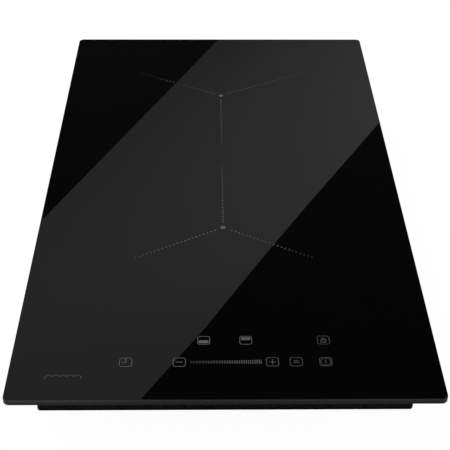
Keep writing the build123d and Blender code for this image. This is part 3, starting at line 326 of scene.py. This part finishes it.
# Terminal block and control carrier: pale polyamide mouldings, one screwed to the tray and one to its shelf.
# The material is slightly milky, with a fine tool grain.
pale_nylon = (0.66, 0.66, 0.62, 1.0), (0.76, 0.76, 0.72, 1.0)
dress(grained("pale_nylon", pale_nylon, 1700.0, (0.40, 0.52), 0.00004), "terminal_block", "control_carrier")


# Mains wires: three cores from the terminals to the filter board, brown, blue and green striped with yellow.
# Silicone insulation is extruded over stranded copper, with a dull skin.
def core_insulation():
    material, place = open_finish("core_insulation")
    earth_x, half_stripe, past_live, past_earth = 0.078, 0.000875, 0.0715, 0.0845
    brown, blue = (0.12, 0.045, 0.02, 1.0), (0.03, 0.07, 0.30, 1.0)
    green, yellow = (0.05, 0.22, 0.05, 1.0), (0.62, 0.52, 0.05, 1.0)
    x = place.axes()[0]
    skin = place.node("TexNoise", {}, {"Vector": place, "Scale": 1600.0, "Detail": 2.0})
    earth = (abs(x - earth_x) < half_stripe).tint(green, yellow)
    live_or_earth = (x > past_live).tint(brown, earth)
    colour = (x > past_earth).tint(live_or_earth, blue)
    close_finish(place, colour, 0.46 + 0.12 * skin, skin, 0.00002)
    return material


dress(core_insulation(), "mains_wires")


# Coil formers, mica sheets, sensors and buffers: what carries each flat coil and holds it against the glass.
# The former is a glass-filled moulding, the mica is pressed flake, and the rest is grey silicone rubber.
formers = (0.50, 0.46, 0.38, 1.0), (0.62, 0.58, 0.50, 1.0)
silicone = (0.36, 0.37, 0.37, 1.0), (0.45, 0.46, 0.46, 1.0)
former_moulding = grained("former_moulding", formers, 1100.0, (0.46, 0.6), 0.00005, (1.0, 0.3, 1.0))
rubber = grained("grey_silicone", silicone, 1400.0, (0.58, 0.72), 0.00003)


def pressed_mica():
    material, place = open_finish("pressed_mica")
    flakes = place.node("TexVoronoi", {}, {"Vector": place, "Scale": 210.0}, out=1)
    pearl = flakes.axes()[0]
    fibre = place.node("TexNoise", {}, {"Vector": place, "Scale": 900.0, "Detail": 3.0})
    colour = (pearl * 0.7 + fibre * 0.3).tint((0.50, 0.42, 0.27, 1.0), (0.70, 0.62, 0.46, 1.0))
    close_finish(place, colour, 0.26 + 0.2 * pearl, pearl * 0.5 + fibre * 0.5, 0.00003)
    return material


mica = pressed_mica()
for zone in ("front", "rear"):
    dress(former_moulding, f"{zone}_coil_former")
    dress(mica, f"{zone}_coil_mica")
    dress(rubber, f"{zone}_coil_sensor", f"{zone}_coil_buffers")


# Coil windings: litz wire, many enamelled strands in one bundle, wound as a flat spiral in each former.
# Bonding varnish holds the turns, and the strands show as fine lines along them.
COIL_MIDDLES, STRAND = {"front": (0.0, -0.0707, 0.0), "rear": (0.0, 0.1410, 0.0)}, 0.0005
litz_colours = (0.30, 0.11, 0.04, 1.0), (0.66, 0.30, 0.13, 1.0)
for zone, coil_middle in COIL_MIDDLES.items():
    dress(wound_copper(f"{zone}_litz", coil_middle, STRAND, *litz_colours), f"{zone}_coil_winding")


# Coil leads: the litz ends in woven glass sleeving, led down to the power board.
# The weave crosses in two fine directions, and it is slightly fluffy.
def woven_sleeve():
    material, place = open_finish("woven_sleeve")
    wale = {"Vector": place, "Scale": 420.0, "Distortion": 0.6}
    one_way = place.node("TexWave", {"bands_direction": "DIAGONAL"}, wale, out=1)
    turned = place.node("Mapping", {}, {"Vector": place, "Scale": (-1.0, 1.0, 1.0)})
    other_way = place.node("TexWave", {"bands_direction": "DIAGONAL"}, {**wale, "Vector": turned}, out=1)
    weave = one_way.math("MAXIMUM", one_way, other_way)
    colour = weave.tint((0.40, 0.38, 0.33, 1.0), (0.66, 0.64, 0.58, 1.0))
    close_finish(place, colour, 0.72 + 0.1 * weave, weave, 0.00010)
    return material


dress(woven_sleeve(), "coil_leads")


# Ribbon cable: flat grey cable from the control board to the power board, with one red edge conductor.
# Its cores lie side by side at a fixed pitch, and each stands up as a soft ridge, painted lighter on its
# crest and darker in the valleys as painted shade.
def flat_cable():
    material, place = open_finish("flat_cable")
    core_pitch, red_edge = 0.00127, -0.0458
    x = place.axes()[0]
    across = x * (1.0 / core_pitch)
    ridge = 1.0 - 2.0 * abs(across.math("FRACT", across) - 0.5)
    # Painted shade: the grey is darker in the valleys between the cores and lighter on their crests.
    shaded_cores = ridge.tint(grey(0.20), grey(0.34))
    colour = (x < red_edge).tint(shaded_cores, (0.42, 0.03, 0.03, 1.0))
    close_finish(place, colour, 0.52 + 0.06 * ridge, ridge, 0.00025)
    return material


dress(flat_cable(), "ribbon_cable")


# Touch pillars and displays: foam blocks that couple each touch symbol to its board, and dark digit windows.
# The foam is carbon loaded and open celled, and the windows are smoked acrylic over the digits.
smoked = (0.018, 0.006, 0.006, 1.0), (0.035, 0.010, 0.010, 1.0)
dress(grained("carbon_foam", (grey(0.014), grey(0.050)), 1300.0, (0.85, 0.95), 0.00025), "touch_pillars")
dress(grained("smoked_window", smoked, 300.0, (0.08, 0.16), 0.000004), "display_modules")


# Glass bond: a bead of black silicone that holds the steel frame to the underside of the glass.
# It is laid by a nozzle, so its skin is smooth and slightly rippled.
dress(grained("black_silicone", (grey(0.012), grey(0.020)), 420.0, (0.22, 0.34), 0.00010), "glass_bond")


# Glass top: black glass-ceramic 4 mm thick, ground at its edge, bevelled in front and bonded to the frame.
# The face is float smooth, with the faintest wiping haze, and the ground edge is a shade duller.
def black_glass():
    material, place = open_finish("black_glass_ceramic")
    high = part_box("glass_top")[1]
    corner, ground = 0.0045, 0.0010
    x, y, _ = place.axes()
    past_x = abs(x) - (high.x - corner)
    past_y = abs(y) - (high.y - corner)
    past_x = past_x.math("MAXIMUM", past_x, 0.0)
    past_y = past_y.math("MAXIMUM", past_y, 0.0)
    reach = past_x * past_x + past_y * past_y
    from_edge = corner - reach.math("SQRT", reach)
    edge = 1.0 - from_edge.spread(ground * 0.9, ground)
    haze = place.node("TexNoise", {}, {"Vector": place, "Scale": 11.0, "Detail": 5.0}).spread(0.45, 0.75)
    grind = place.node("TexNoise", {}, {"Vector": place, "Scale": 3000.0, "Detail": 2.0})
    colour = edge.tint((haze * 0.5).tint(grey(0.0002), grey(0.0005)), grey(0.003))
    roughness = 0.008 + 0.008 * haze + 0.12 * edge
    close_finish(place, colour, roughness, edge * grind, 0.000004)
    return material


dress(black_glass(), "glass_top")


# Worktop seal: a strip of black closed-cell foam stuck under the overhang of the glass, on its own adhesive.
# Its cut face shows the cells, and it takes the worktop's small unevenness.
def closed_cell_foam():
    material, place = open_finish("closed_cell_foam")
    cells = place.node("TexVoronoi", {}, {"Vector": place, "Scale": 1500.0})
    mottle = place.node("TexNoise", {}, {"Vector": place, "Scale": 120.0, "Detail": 3.0}).spread(0.35, 0.7)
    colour = (cells * 0.6 + mottle * 0.4).tint(grey(0.032), grey(0.016))
    close_finish(place, colour, 0.86 + 0.08 * mottle, cells, 0.00018)
    return material


dress(closed_cell_foam(), "worktop_seal")


# Cooking zone marks: grey ceramic ink, screen printed on the glass and fired in, nearly as smooth as glass.
# Each zone has a round middle and three rows of dots that thin out towards the rim of a pan.
# In one row of each, small arrow heads stand in the place of five dots.
INK = 0.00004
GLASS_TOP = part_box("glass_top")[1].z


def printed_ink(name, lit_grey, shaded_grey, centre=(0.0, 0.0), light_falloff=(1.0, 2.0)):
    """Fired ink, painted lighter up to the first distance from a centre and darker from the second: a
    painted pool of light.
    """
    material, place = open_finish(name)
    x, y, _ = place.axes()
    off_x = x - centre[0]
    off_y = y - centre[1]
    away = off_x * off_x + off_y * off_y
    # Painted light: the ink's colour falls off with distance from a lit spot.
    painted_shade_share = away.math("SQRT", away).spread(*light_falloff)
    grit = place.node("TexNoise", {}, {"Vector": place, "Scale": 5200.0, "Detail": 2.0}).spread(0.3, 0.7)
    full = grit.tint(grey(lit_grey * 0.93), grey(lit_grey * 1.07))
    close_finish(place, painted_shade_share.tint(full, grey(shaded_grey)), 0.10 + 0.06 * grit, grit, 0.000002)
    return material


def lay_disc(radius, corners):
    """Starts a flat round mark on the glass, in edit mode."""
    bpy.ops.object.select_all(action="DESELECT")
    bpy.ops.mesh.primitive_circle_add(
        vertices=corners, radius=radius, fill_type="NGON", location=(0.0, 0.0, GLASS_TOP)
    )
    bpy.ops.object.transform_apply(location=True, rotation=True, scale=True)
    bpy.ops.object.mode_set(mode="EDIT")


def raise_print():
    """Lifts the flat mark in edit mode to the thickness of the ink, and closes it."""
    bpy.ops.mesh.select_all(action="SELECT")
    bpy.ops.mesh.extrude_region_move(TRANSFORM_OT_translate={"value": (0.0, 0.0, INK)})
    bpy.ops.mesh.select_all(action="SELECT")
    bpy.ops.mesh.normals_make_consistent(inside=False)
    bpy.ops.object.mode_set(mode="OBJECT")
    return bpy.context.object


def ink_dot(radius, corners):
    lay_disc(radius, corners)
    return raise_print()


def chevron(width, rise, line):
    """An arrow head that points along +Y: a bar with its middle pushed forward."""
    bpy.ops.object.select_all(action="DESELECT")
    halves = {"x_subdivisions": 2, "y_subdivisions": 1}
    bpy.ops.mesh.primitive_grid_add(size=1.0, location=(0.0, 0.0, GLASS_TOP), **halves)
    mark = bpy.context.object
    mark.scale = (width, line, 1.0)
    bpy.ops.object.transform_apply(location=True, rotation=True, scale=True)
    bpy.ops.object.mode_set(mode="EDIT")
    grid = bmesh.from_edit_mesh(mark.data)
    for vertex in grid.verts:
        vertex.select_set(abs(vertex.co.x) < width * 0.1)
    grid.select_flush_mode()
    bpy.ops.transform.translate(value=(0.0, rise, 0.0))
    return raise_print()


def repeat(mark, x, y, turn=0.0, wide=1.0, tall=1.0):
    """A copy of a mark with its own mesh, at its place on the glass."""
    twin = mark.copy()
    twin.data = mark.data.copy()
    bpy.context.collection.objects.link(twin)
    sized = Matrix.Diagonal((wide, tall, 1.0, 1.0))
    twin.data.transform(Matrix.Translation((x, y, 0.0)) @ Matrix.Rotation(turn, 4, "Z") @ sized)
    return twin


def join_marks(marks):
    bpy.ops.object.select_all(action="DESELECT")
    for mark in marks:
        mark.select_set(True)
    bpy.context.view_layer.objects.active = marks[0]
    if len(marks) > 1:
        bpy.ops.object.join()
    return bpy.context.object


def print_piece(name, marks, ink, *patterns):
    """Makes one printed piece of its marks, and clears away the patterns they were copied from."""
    piece = join_marks(marks)
    piece.name = piece.data.name = name
    piece.data.materials.clear()
    piece.data.materials.append(ink)
    for pattern in patterns:
        bpy.data.objects.remove(pattern)
    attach(piece, "case")


INK_GREY, SHADED_INK_GREY = 0.125, 0.031
ZONES = {
    "front": {
        "centre": (0.0001, -0.0707), "dots": {90: 25, 210: 22, 330: 22}, "marked": 330, "gap": range(11, 16),
        "first": 0.00778, "pitch": 0.003300, "size": 1.0, "lit_spot": (-0.02, -0.0607),
    },
    "rear": {
        "centre": (0.0001, 0.1410), "dots": {270: 25, 30: 25, 150: 25}, "marked": 150, "gap": range(13, 18),
        "first": 0.00758, "pitch": 0.003429, "size": 0.95, "lit_spot": (0.02, 0.1310),
    },
}
DOT_RADIUS, DOT_CORNERS, DOT_THINNING = 0.00068, 14, 0.12
MIDDLE_RADIUS, MIDDLE_CORNERS = 0.00205, 40
ARROW_WIDE, ARROW_RISE, ARROW_LINE = 0.0026, 0.0011, 0.0008
ZONE_LIGHT_REACH = (0.02, 0.10)
for zone, plan in ZONES.items():
    centre_x, centre_y = plan["centre"]
    dot = ink_dot(DOT_RADIUS * plan["size"], DOT_CORNERS)
    middle = ink_dot(MIDDLE_RADIUS * plan["size"], MIDDLE_CORNERS)
    arrow = chevron(ARROW_WIDE, ARROW_RISE, ARROW_LINE)
    marks = [repeat(middle, centre_x, centre_y)]
    for arm, dots in plan["dots"].items():
        bearing = math.radians(arm)
        for step in range(dots):
            out = plan["first"] + plan["pitch"] * step
            at = centre_x + out * math.cos(bearing), centre_y + out * math.sin(bearing)
            size = 1.0 - DOT_THINNING * step / dots
            if arm == plan["marked"] and step in plan["gap"]:
                marks.append(repeat(arrow, *at, bearing - math.pi / 2.0))
            else:
                marks.append(repeat(dot, *at, wide=size, tall=size))
    # Each zone's ink is painted lighter round its lit spot and darker towards its ends, as painted light.
    ink = printed_ink(f"{zone}_zone_ink", INK_GREY, SHADED_INK_GREY, plan["lit_spot"], ZONE_LIGHT_REACH)
    print_piece(f"{zone}_zone_marks", marks, ink, dot, middle, arrow)


# Touch symbols: the same grey ink, one outlined key for each function, over a touch pillar.
# Two keys choose a zone, and the rest lock, time, lower, raise, heat fast and switch the cooktop.
KEY_CORNER_STEPS, RING_CORNERS, ARCH_CORNERS = 6, 48, 32


def lay_block(width, depth, corner):
    """Starts a flat mark with rounded corners on the glass, in edit mode."""
    bpy.ops.object.select_all(action="DESELECT")
    bpy.ops.mesh.primitive_plane_add(size=1.0, location=(0.0, 0.0, GLASS_TOP))
    bpy.context.object.scale = (width, depth, 1.0)
    bpy.ops.object.transform_apply(location=True, rotation=True, scale=True)
    bpy.ops.object.mode_set(mode="EDIT")
    bpy.ops.mesh.select_all(action="SELECT")
    bpy.ops.mesh.bevel(offset=corner, segments=KEY_CORNER_STEPS, affect="VERTICES")


def clear_inside(line):
    """Leaves of the flat mark in edit mode only its rim, as wide as the line."""
    bpy.ops.mesh.select_all(action="SELECT")
    bpy.ops.mesh.inset(thickness=line, depth=0.0)
    bpy.ops.mesh.delete(type="FACE")


def patch(width, depth, corner):
    lay_block(width, depth, corner)
    return raise_print()


def key_outline(width, depth, corner, line):
    lay_block(width, depth, corner)
    clear_inside(line)
    return raise_print()


def ring(radius, line):
    lay_disc(radius, RING_CORNERS)
    clear_inside(line)
    return raise_print()


def lay_arch(radius, line):
    """Starts half a ring on the glass, in edit mode, with its feet on the X axis."""
    lay_disc(radius, ARCH_CORNERS)
    clear_inside(line)
    bpy.ops.mesh.select_all(action="SELECT")
    bpy.ops.mesh.bisect(plane_co=(0.0, 0.0, 0.0), plane_no=(0.0, 1.0, 0.0), clear_inner=True)


def draw_feet_down(length, beyond=0.0):
    """Draws out the arch's feet that lie further than this from the middle."""
    arch = bmesh.from_edit_mesh(bpy.context.object.data)
    for edge in arch.edges:
        edge.select_set(all(abs(v.co.y) < 1e-6 and abs(v.co.x) > beyond for v in edge.verts))
    arch.select_flush_mode()
    bpy.ops.mesh.extrude_region_move(TRANSFORM_OT_translate={"value": (0.0, -length, 0.0)})


def lock_bow(radius, line, leg):
    lay_arch(radius, line)
    draw_feet_down(leg)
    return raise_print()


UPPER_ROW, LOWER_ROW = -0.2025, -0.2241
ZONE_KEYS = {"front": -0.0146, "rear": 0.0142}
LOCK_X, TIMER_X, MINUS_X, PLUS_X, FAST_X, POWER_X = 0.0675, -0.0667, -0.0308, 0.0316, 0.0475, 0.0673
KEY_SIZE, KEY_CORNER, KEY_LINE = 0.0086, 0.0019, 0.00044
TIMER_SIZE, TIMER_CORNER = 0.0087, 0.0024
KEY_GREY, SHADED_KEY_GREY, KEY_LIT_SPOT, KEY_LIGHT_REACH = 0.140, 0.080, (-0.025, -0.2130), (0.03, 0.08)

key_frame = key_outline(KEY_SIZE, KEY_SIZE, KEY_CORNER, KEY_LINE)
timer_frame = key_outline(TIMER_SIZE, TIMER_SIZE, TIMER_CORNER, KEY_LINE)
keys = [repeat(key_frame, x, UPPER_ROW) for x in (*ZONE_KEYS.values(), LOCK_X)]
keys += [repeat(key_frame, x, LOWER_ROW) for x in (MINUS_X, PLUS_X, FAST_X, POWER_X)]
keys.append(repeat(timer_frame, TIMER_X, LOWER_ROW))
# The key ink is painted lighter round a lit spot and darker on the keys far from it, as painted light.
key_ink = printed_ink("key_ink", KEY_GREY, SHADED_KEY_GREY, KEY_LIT_SPOT, KEY_LIGHT_REACH)
print_piece("key_frames", keys, key_ink, key_frame, timer_frame)

ZONE_BAR_WIDE, ZONE_BAR_DEEP, ZONE_BAR_CORNER = 0.0065, 0.0029, 0.0006
ZONE_BAR_SHIFTS = {"front": -0.0014, "rear": 0.0017}
BAR_LONG, BAR_LINE, BAR_CORNER = 0.0048, 0.00052, 0.0001
LONG_HAND, SHORT_HAND = 0.0028, 0.0021
LOCK_WIDE, LOCK_DEEP, LOCK_CORNER, LOCK_LINE, LOCK_SHIFT = 0.0040, 0.0032, 0.0009, 0.0006, -0.0010
BOW_RADIUS, BOW_LINE, BOW_LEG, BOW_SHIFT = 0.0015, 0.0005, 0.0003, 0.0009
KEYHOLE_WIDE, KEYHOLE_TALL = 0.0005, 0.0012
POWER_RADIUS, POWER_LINE, STROKE_WIDE, STROKE_TALL = 0.0037, 0.00045, 0.0005, 0.0044
FAST_WIDE, FAST_RISE, FAST_LINE, FAST_SHIFTS = 0.0036, 0.0013, 0.0007, (-0.0015, 0.0002)

bar = patch(1.0, 1.0, BAR_CORNER)
zone_bar = patch(ZONE_BAR_WIDE, ZONE_BAR_DEEP, ZONE_BAR_CORNER)
symbols = [repeat(zone_bar, x, UPPER_ROW + ZONE_BAR_SHIFTS[zone]) for zone, x in ZONE_KEYS.items()]


def add_bar(x, y, wide, tall):
    symbols.append(repeat(bar, x, y, wide=wide, tall=tall))


for x in (MINUS_X, PLUS_X):
    add_bar(x, LOWER_ROW, BAR_LONG, BAR_LINE)
arm_long = (BAR_LONG - BAR_LINE) / 2.0
arm_shift = (BAR_LINE + arm_long) / 2.0
for side in (-1.0, 1.0):
    add_bar(PLUS_X, LOWER_ROW + side * arm_shift, BAR_LINE, arm_long)
add_bar(TIMER_X, LOWER_ROW + LONG_HAND / 2.0, BAR_LINE, LONG_HAND + BAR_LINE)
add_bar(TIMER_X - (SHORT_HAND + BAR_LINE) / 2.0, LOWER_ROW, SHORT_HAND, BAR_LINE)
lock_body = key_outline(LOCK_WIDE, LOCK_DEEP, LOCK_CORNER, LOCK_LINE)
bow = lock_bow(BOW_RADIUS, BOW_LINE, BOW_LEG)
symbols.append(repeat(lock_body, LOCK_X, UPPER_ROW + LOCK_SHIFT))
symbols.append(repeat(bow, LOCK_X, UPPER_ROW + BOW_SHIFT))
add_bar(LOCK_X, UPPER_ROW + LOCK_SHIFT, KEYHOLE_WIDE, KEYHOLE_TALL)
power_ring = ring(POWER_RADIUS, POWER_LINE)
symbols.append(repeat(power_ring, POWER_X, LOWER_ROW))
add_bar(POWER_X, LOWER_ROW, STROKE_WIDE, STROKE_TALL)
fast_arrow = chevron(FAST_WIDE, FAST_RISE, FAST_LINE)
symbols += [repeat(fast_arrow, FAST_X, LOWER_ROW + shift) for shift in FAST_SHIFTS]
print_piece("key_symbols", symbols, key_ink, zone_bar, lock_body, bow, power_ring, fast_arrow)


# Power slider: a row of ticks in the same ink that grow taller and closer from left to right, and are
# painted lighter towards the right end as painted light.
# A finger slides along it to set the heat of the chosen zone.
SLIDER_LEFT, SLIDER_RIGHT = -0.0229, 0.0239
SLIDER_GREY, SHADED_SLIDER_GREY, SLIDER_LIGHT_REACH = 0.125, 0.022, (0.0, 0.046)
TICKS, FIRST_GAP, LAST_GAP, FIRST_SHARE, LAST_SHARE = 29, 0.00205, 0.00132, 0.76, 0.42
SHORT_TICK, LONG_TICK = 0.0021, 0.0039
gaps = [FIRST_GAP + (LAST_GAP - FIRST_GAP) * step / (TICKS - 1) for step in range(TICKS)]
stretch = (SLIDER_RIGHT - SLIDER_LEFT) / sum(gaps[:-1])
ticks = []
tick_x = SLIDER_LEFT
for step, gap in enumerate(gaps):
    along = step / (TICKS - 1)
    tall = SHORT_TICK + (LONG_TICK - SHORT_TICK) * along
    share = FIRST_SHARE + (LAST_SHARE - FIRST_SHARE) * along
    ticks.append(repeat(bar, tick_x, LOWER_ROW, wide=gap * share, tall=tall))
    tick_x += gap * stretch
# Painted light: the ticks' ink is lighter at the right end and darker towards the left.
slider_ink = printed_ink("slider_ink", SLIDER_GREY, SHADED_SLIDER_GREY, (SLIDER_RIGHT, LOWER_ROW), SLIDER_LIGHT_REACH)
print_piece("power_slider", ticks, slider_ink, bar)


# Induction sign: a plain coil of humps with two leads, printed in the front left corner.
# It is the common mark for a coil, in the same ink as the keys.
def coil_sign(humps, radius, line, lead):
    """Half rings side by side whose feet meet, with the first and last foot drawn out as leads."""
    lay_arch(radius, line)
    bpy.ops.object.mode_set(mode="OBJECT")
    arch = bpy.context.object
    pitch = 2.0 * radius - line
    end = pitch * (humps - 1) / 2.0
    join_marks([repeat(arch, pitch * step - end, 0.0) for step in range(humps)])
    bpy.data.objects.remove(arch)
    bpy.ops.object.mode_set(mode="EDIT")
    bpy.ops.mesh.select_all(action="SELECT")
    bpy.ops.mesh.remove_doubles(threshold=1e-5)
    draw_feet_down(lead, end + radius - line * 1.5)
    return raise_print()


SIGN_HUMPS, SIGN_RADIUS, SIGN_LINE, SIGN_LEAD = 5, 0.0026, 0.0005, 0.0016
SIGN_X, SIGN_Y = -0.107, -0.2385
sign = coil_sign(SIGN_HUMPS, SIGN_RADIUS, SIGN_LINE, SIGN_LEAD)
print_piece("coil_sign", [repeat(sign, SIGN_X, SIGN_Y)], key_ink, sign)


# Rating plate: a bare strip of satin aluminium stuck on the rear wall beside the cable gland.
# Its border is coined, so the middle lies a little lower.
def rating_plate():
    centre_x, centre_z, width, height, thick = 0.027, 0.025, 0.050, 0.026, 0.0005
    corner, corner_steps, border, slope, sunk = 0.002, 6, 0.0012, 0.0002, 0.0002
    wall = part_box("base_tray")[1].y
    bpy.ops.object.select_all(action="DESELECT")
    bpy.ops.mesh.primitive_cube_add(size=1.0, location=(centre_x, wall + thick / 2.0, centre_z))
    plate = bpy.context.object
    plate.name = plate.data.name = "rating_plate"
    plate.scale = (width, thick, height)
    bpy.ops.object.transform_apply(location=True, rotation=True, scale=True)
    bpy.ops.object.mode_set(mode="EDIT")
    form = bmesh.from_edit_mesh(plate.data)
    for edge in form.edges:
        edge.select_set(abs(edge.verts[0].co.y - edge.verts[1].co.y) > thick / 2.0)
    form.select_flush_mode()
    bpy.ops.mesh.bevel(offset=corner, segments=corner_steps)
    form = bmesh.from_edit_mesh(plate.data)
    for face in form.faces:
        face.select_set(face.normal.y > 0.9)
    form.select_flush_mode()
    bpy.ops.mesh.inset(thickness=border, depth=0.0)
    bpy.ops.mesh.inset(thickness=slope, depth=-sunk)
    bpy.ops.object.mode_set(mode="OBJECT")
    return plate


plate = rating_plate()
satin = (0.66, 0.67, 0.68, 1.0), (0.78, 0.79, 0.80, 1.0)
plate.data.materials.append(
    grained("satin_aluminium", satin, 1600.0, (0.30, 0.42), 0.00001, (0.03, 1.0, 1.0), bare)
)
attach(plate, "case")


# Floor: a plain white sweep, which takes a soft shadow and stays white to the camera and in reflections.
# It is not part of the cooktop.
def ray_masks(tree):
    """1 for rays from the camera, and 1 for rays that were mirrored or came through glass."""
    ray = tree.nodes.new("ShaderNodeLightPath").outputs
    seen, shine, through = (Signal(ray[f"Is {way} Ray"]) for way in ("Camera", "Glossy", "Transmission"))
    return seen, shine.math("MAXIMUM", shine, through)


def white_floor():
    paint, seen_paint, seen_glow, mirrored_glow = 0.50, 0.085, 0.962, 0.05
    material = bpy.data.materials.new("white_floor")
    seen, mirrored = ray_masks(empty_tree(material))
    matt = seen.node("BsdfDiffuse", {}, {"Color": seen.tint(grey(paint), grey(seen_paint))})
    glow = seen.node("Emission", {}, {"Strength": seen_glow * seen + mirrored_glow * mirrored})
    seen.node("OutputMaterial", {}, {"Surface": seen.node("AddShader", {}, {0: matt, 1: glow})})
    return material


FLOOR_SIZE = 30.0
bpy.ops.object.select_all(action="DESELECT")
bpy.ops.mesh.primitive_plane_add(size=FLOOR_SIZE, location=(0.0, 0.0, 0.0))
floor = bpy.context.object
floor.name = "floor"
floor.data.materials.append(white_floor())


# Reflection card: a large dim softbox high behind the cooktop, seen only as the slanting sheen on the glass.
# Its two long edges stand where the mirrored sight lines through the sheen's edges meet an upright plane.
# It is weaker towards its lower left, away from its lamp, and its right edge wavers as the cloth hangs.
EYE = Vector((-0.009559, -0.760959, 0.560120))
CARD_Y = 2.5
CARD_LIGHT, CARD_FALL, CARD_FOOT, CARD_HEAD = 0.316, 0.28, 1.05, 2.5
LEFT_EDGE = (0.0551, 0.3870), (-0.1868, -0.1594)
RIGHT_EDGE = (
    (-0.1157, -0.3651),
    (-0.0556, -0.2598),
    (-0.0140, -0.1900),
    (0.0280, -0.1122),
    (0.0674, -0.0415),
    (0.2240, 0.2320),
)


def on_card(x, y):
    """Where the sight line that is mirrored by the glass at x, y meets the card."""
    mirrored_eye = Vector((EYE.x, EYE.y, 2.0 * GLASS_TOP - EYE.z))
    way = Vector((x, y, GLASS_TOP)) - mirrored_eye
    return mirrored_eye + way * ((CARD_Y - mirrored_eye.y) / way.y)


def card_cloth():
    material, place = open_finish("card_cloth")
    slant, weak_side, strong_side, recovery = 1.14, 0.97, 2.47, 1.32
    x, _, z = place.axes()
    low_down = 1.0 - z.spread(CARD_FOOT, CARD_HEAD)
    to_the_right = (x + slant * z).spread(weak_side, strong_side)
    level = CARD_LIGHT - CARD_FALL * low_down * (1.0 - recovery * to_the_right)
    place.node("OutputMaterial", {}, {"Surface": place.node("Emission", {}, {"Color": level})})
    return material


outline = [on_card(*point) for point in (*LEFT_EDGE, *RIGHT_EDGE)]
sheet = bpy.data.meshes.new("reflection_card")
sheet.from_pydata([tuple(point) for point in outline], [], [range(len(outline))])
sheet.materials.append(card_cloth())
card = bpy.data.objects.new("reflection_card", sheet)
bpy.context.collection.objects.link(card)
card.visible_camera = False
card.visible_shadow = False


# Front strip: a long pale panel behind the camera, which shows in the bevel along the front of the glass.
# It stands square to the bevel's mirrored sight line, brighter on its left, and fades out above and below.
STRIP_AWAY, STRIP_RISE, STRIP_WIDE, STRIP_TALL = 2.2, math.radians(15.5), 3.0, 0.6
STRIP_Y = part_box("glass_top")[0].y - STRIP_AWAY * math.cos(STRIP_RISE)
STRIP_Z = GLASS_TOP + STRIP_AWAY * math.sin(STRIP_RISE)


def strip_cloth():
    material, place = open_finish("strip_cloth")
    left_light, right_loss, left_end, right_start = 1.05, 0.40, -0.42, -0.18
    even_half, faded_half = 0.05, STRIP_TALL * 0.47
    x, _, z = place.axes()
    light_falloff = abs(z - STRIP_Z).spread(even_half, faded_half)
    level = (left_light - right_loss * x.spread(left_end, right_start)) * (1.0 - light_falloff)
    place.node("OutputMaterial", {}, {"Surface": place.node("Emission", {}, {"Color": level})})
    return material


bpy.ops.object.select_all(action="DESELECT")
bpy.ops.mesh.primitive_plane_add(
    size=1.0, location=(0.0, STRIP_Y, STRIP_Z), rotation=(math.pi / 2.0 - STRIP_RISE, 0.0, 0.0)
)
strip = bpy.context.object
strip.name = "front_strip"
strip.scale = (STRIP_WIDE, STRIP_TALL, 1.0)
bpy.ops.object.transform_apply(location=True, rotation=True, scale=True)
strip.data.materials.append(strip_cloth())
strip.visible_camera = False
strip.visible_diffuse = False
strip.visible_shadow = False


# Studio lamps: two large soft boxes above and behind the cooktop, the brighter one on the left.
# Together with the room they light a white surface to about its own colour. Shiny surfaces don't show them.
def soft_box(name, place, size, power):
    bpy.ops.object.light_add(type="AREA", location=place)
    lamp = bpy.context.object
    lamp.name = name
    lamp.data.size = size
    lamp.data.energy = power
    lamp.visible_glossy = False
    lamp.rotation_euler = (-Vector(place)).to_track_quat("-Z", "Y").to_euler()


soft_box("key_lamp", (-1.5, 1.5, 1.5), 1.3, 34.0)
soft_box("fill_lamp", (1.5, 0.7, 1.6), 1.4, 10.0)


# Room: an even pale light all round, white low down where it shows as background and in reflections.
# Overhead it is dark to reflections, like the ceiling of a studio, so the glass stays black.
CEILING, ROOM_LIGHT, WHITE_BELOW, DARK_ABOVE = 0.0265, 0.40, 0.10, 0.32
world = bpy.data.worlds.new("studio")
bpy.context.scene.world = world
tree = empty_tree(world)
seen, mirrored = ray_masks(tree)
heading = Signal(tree.nodes.new("ShaderNodeTexCoord").outputs["Generated"])
low_down = 1.0 - heading.axes()[2].spread(WHITE_BELOW, DARK_ABOVE)
reflection = CEILING + (1.0 - CEILING) * low_down
room = ROOM_LIGHT + (reflection - ROOM_LIGHT) * mirrored
strength = room + (1.0 - room) * seen
glow = seen.node("Background", {}, {"Color": grey(1.0), "Strength": strength})
seen.node("OutputWorld", {}, {"Surface": glow})


# Camera: in front of the cooktop and above it, turned and rolled as the picture was taken.
# The rows of its turn are the ways right, down and ahead in the picture.
TILT, YAW, ROLL, FOCAL_PIXELS, PICTURE = 0.62459, 0.01602, 0.00764, 1087.481, 450.0
tilted = Matrix((
    (1.0, 0.0, 0.0),
    (0.0, -math.sin(TILT), -math.cos(TILT)),
    (0.0, math.cos(TILT), -math.sin(TILT)),
))
right, down, ahead = Matrix.Rotation(ROLL, 3, "Z") @ tilted @ Matrix.Rotation(YAW, 3, "Z")
bpy.ops.object.camera_add(location=EYE)
camera = bpy.context.object
camera.data.sensor_width = 36.0
camera.data.lens = FOCAL_PIXELS * camera.data.sensor_width / PICTURE
facing = Matrix((right, -down, -ahead)).transposed().to_4x4()
camera.matrix_world = Matrix.Translation(EYE) @ facing
bpy.context.scene.camera = camera
bpy.context.scene.view_settings.view_transform = "Standard"
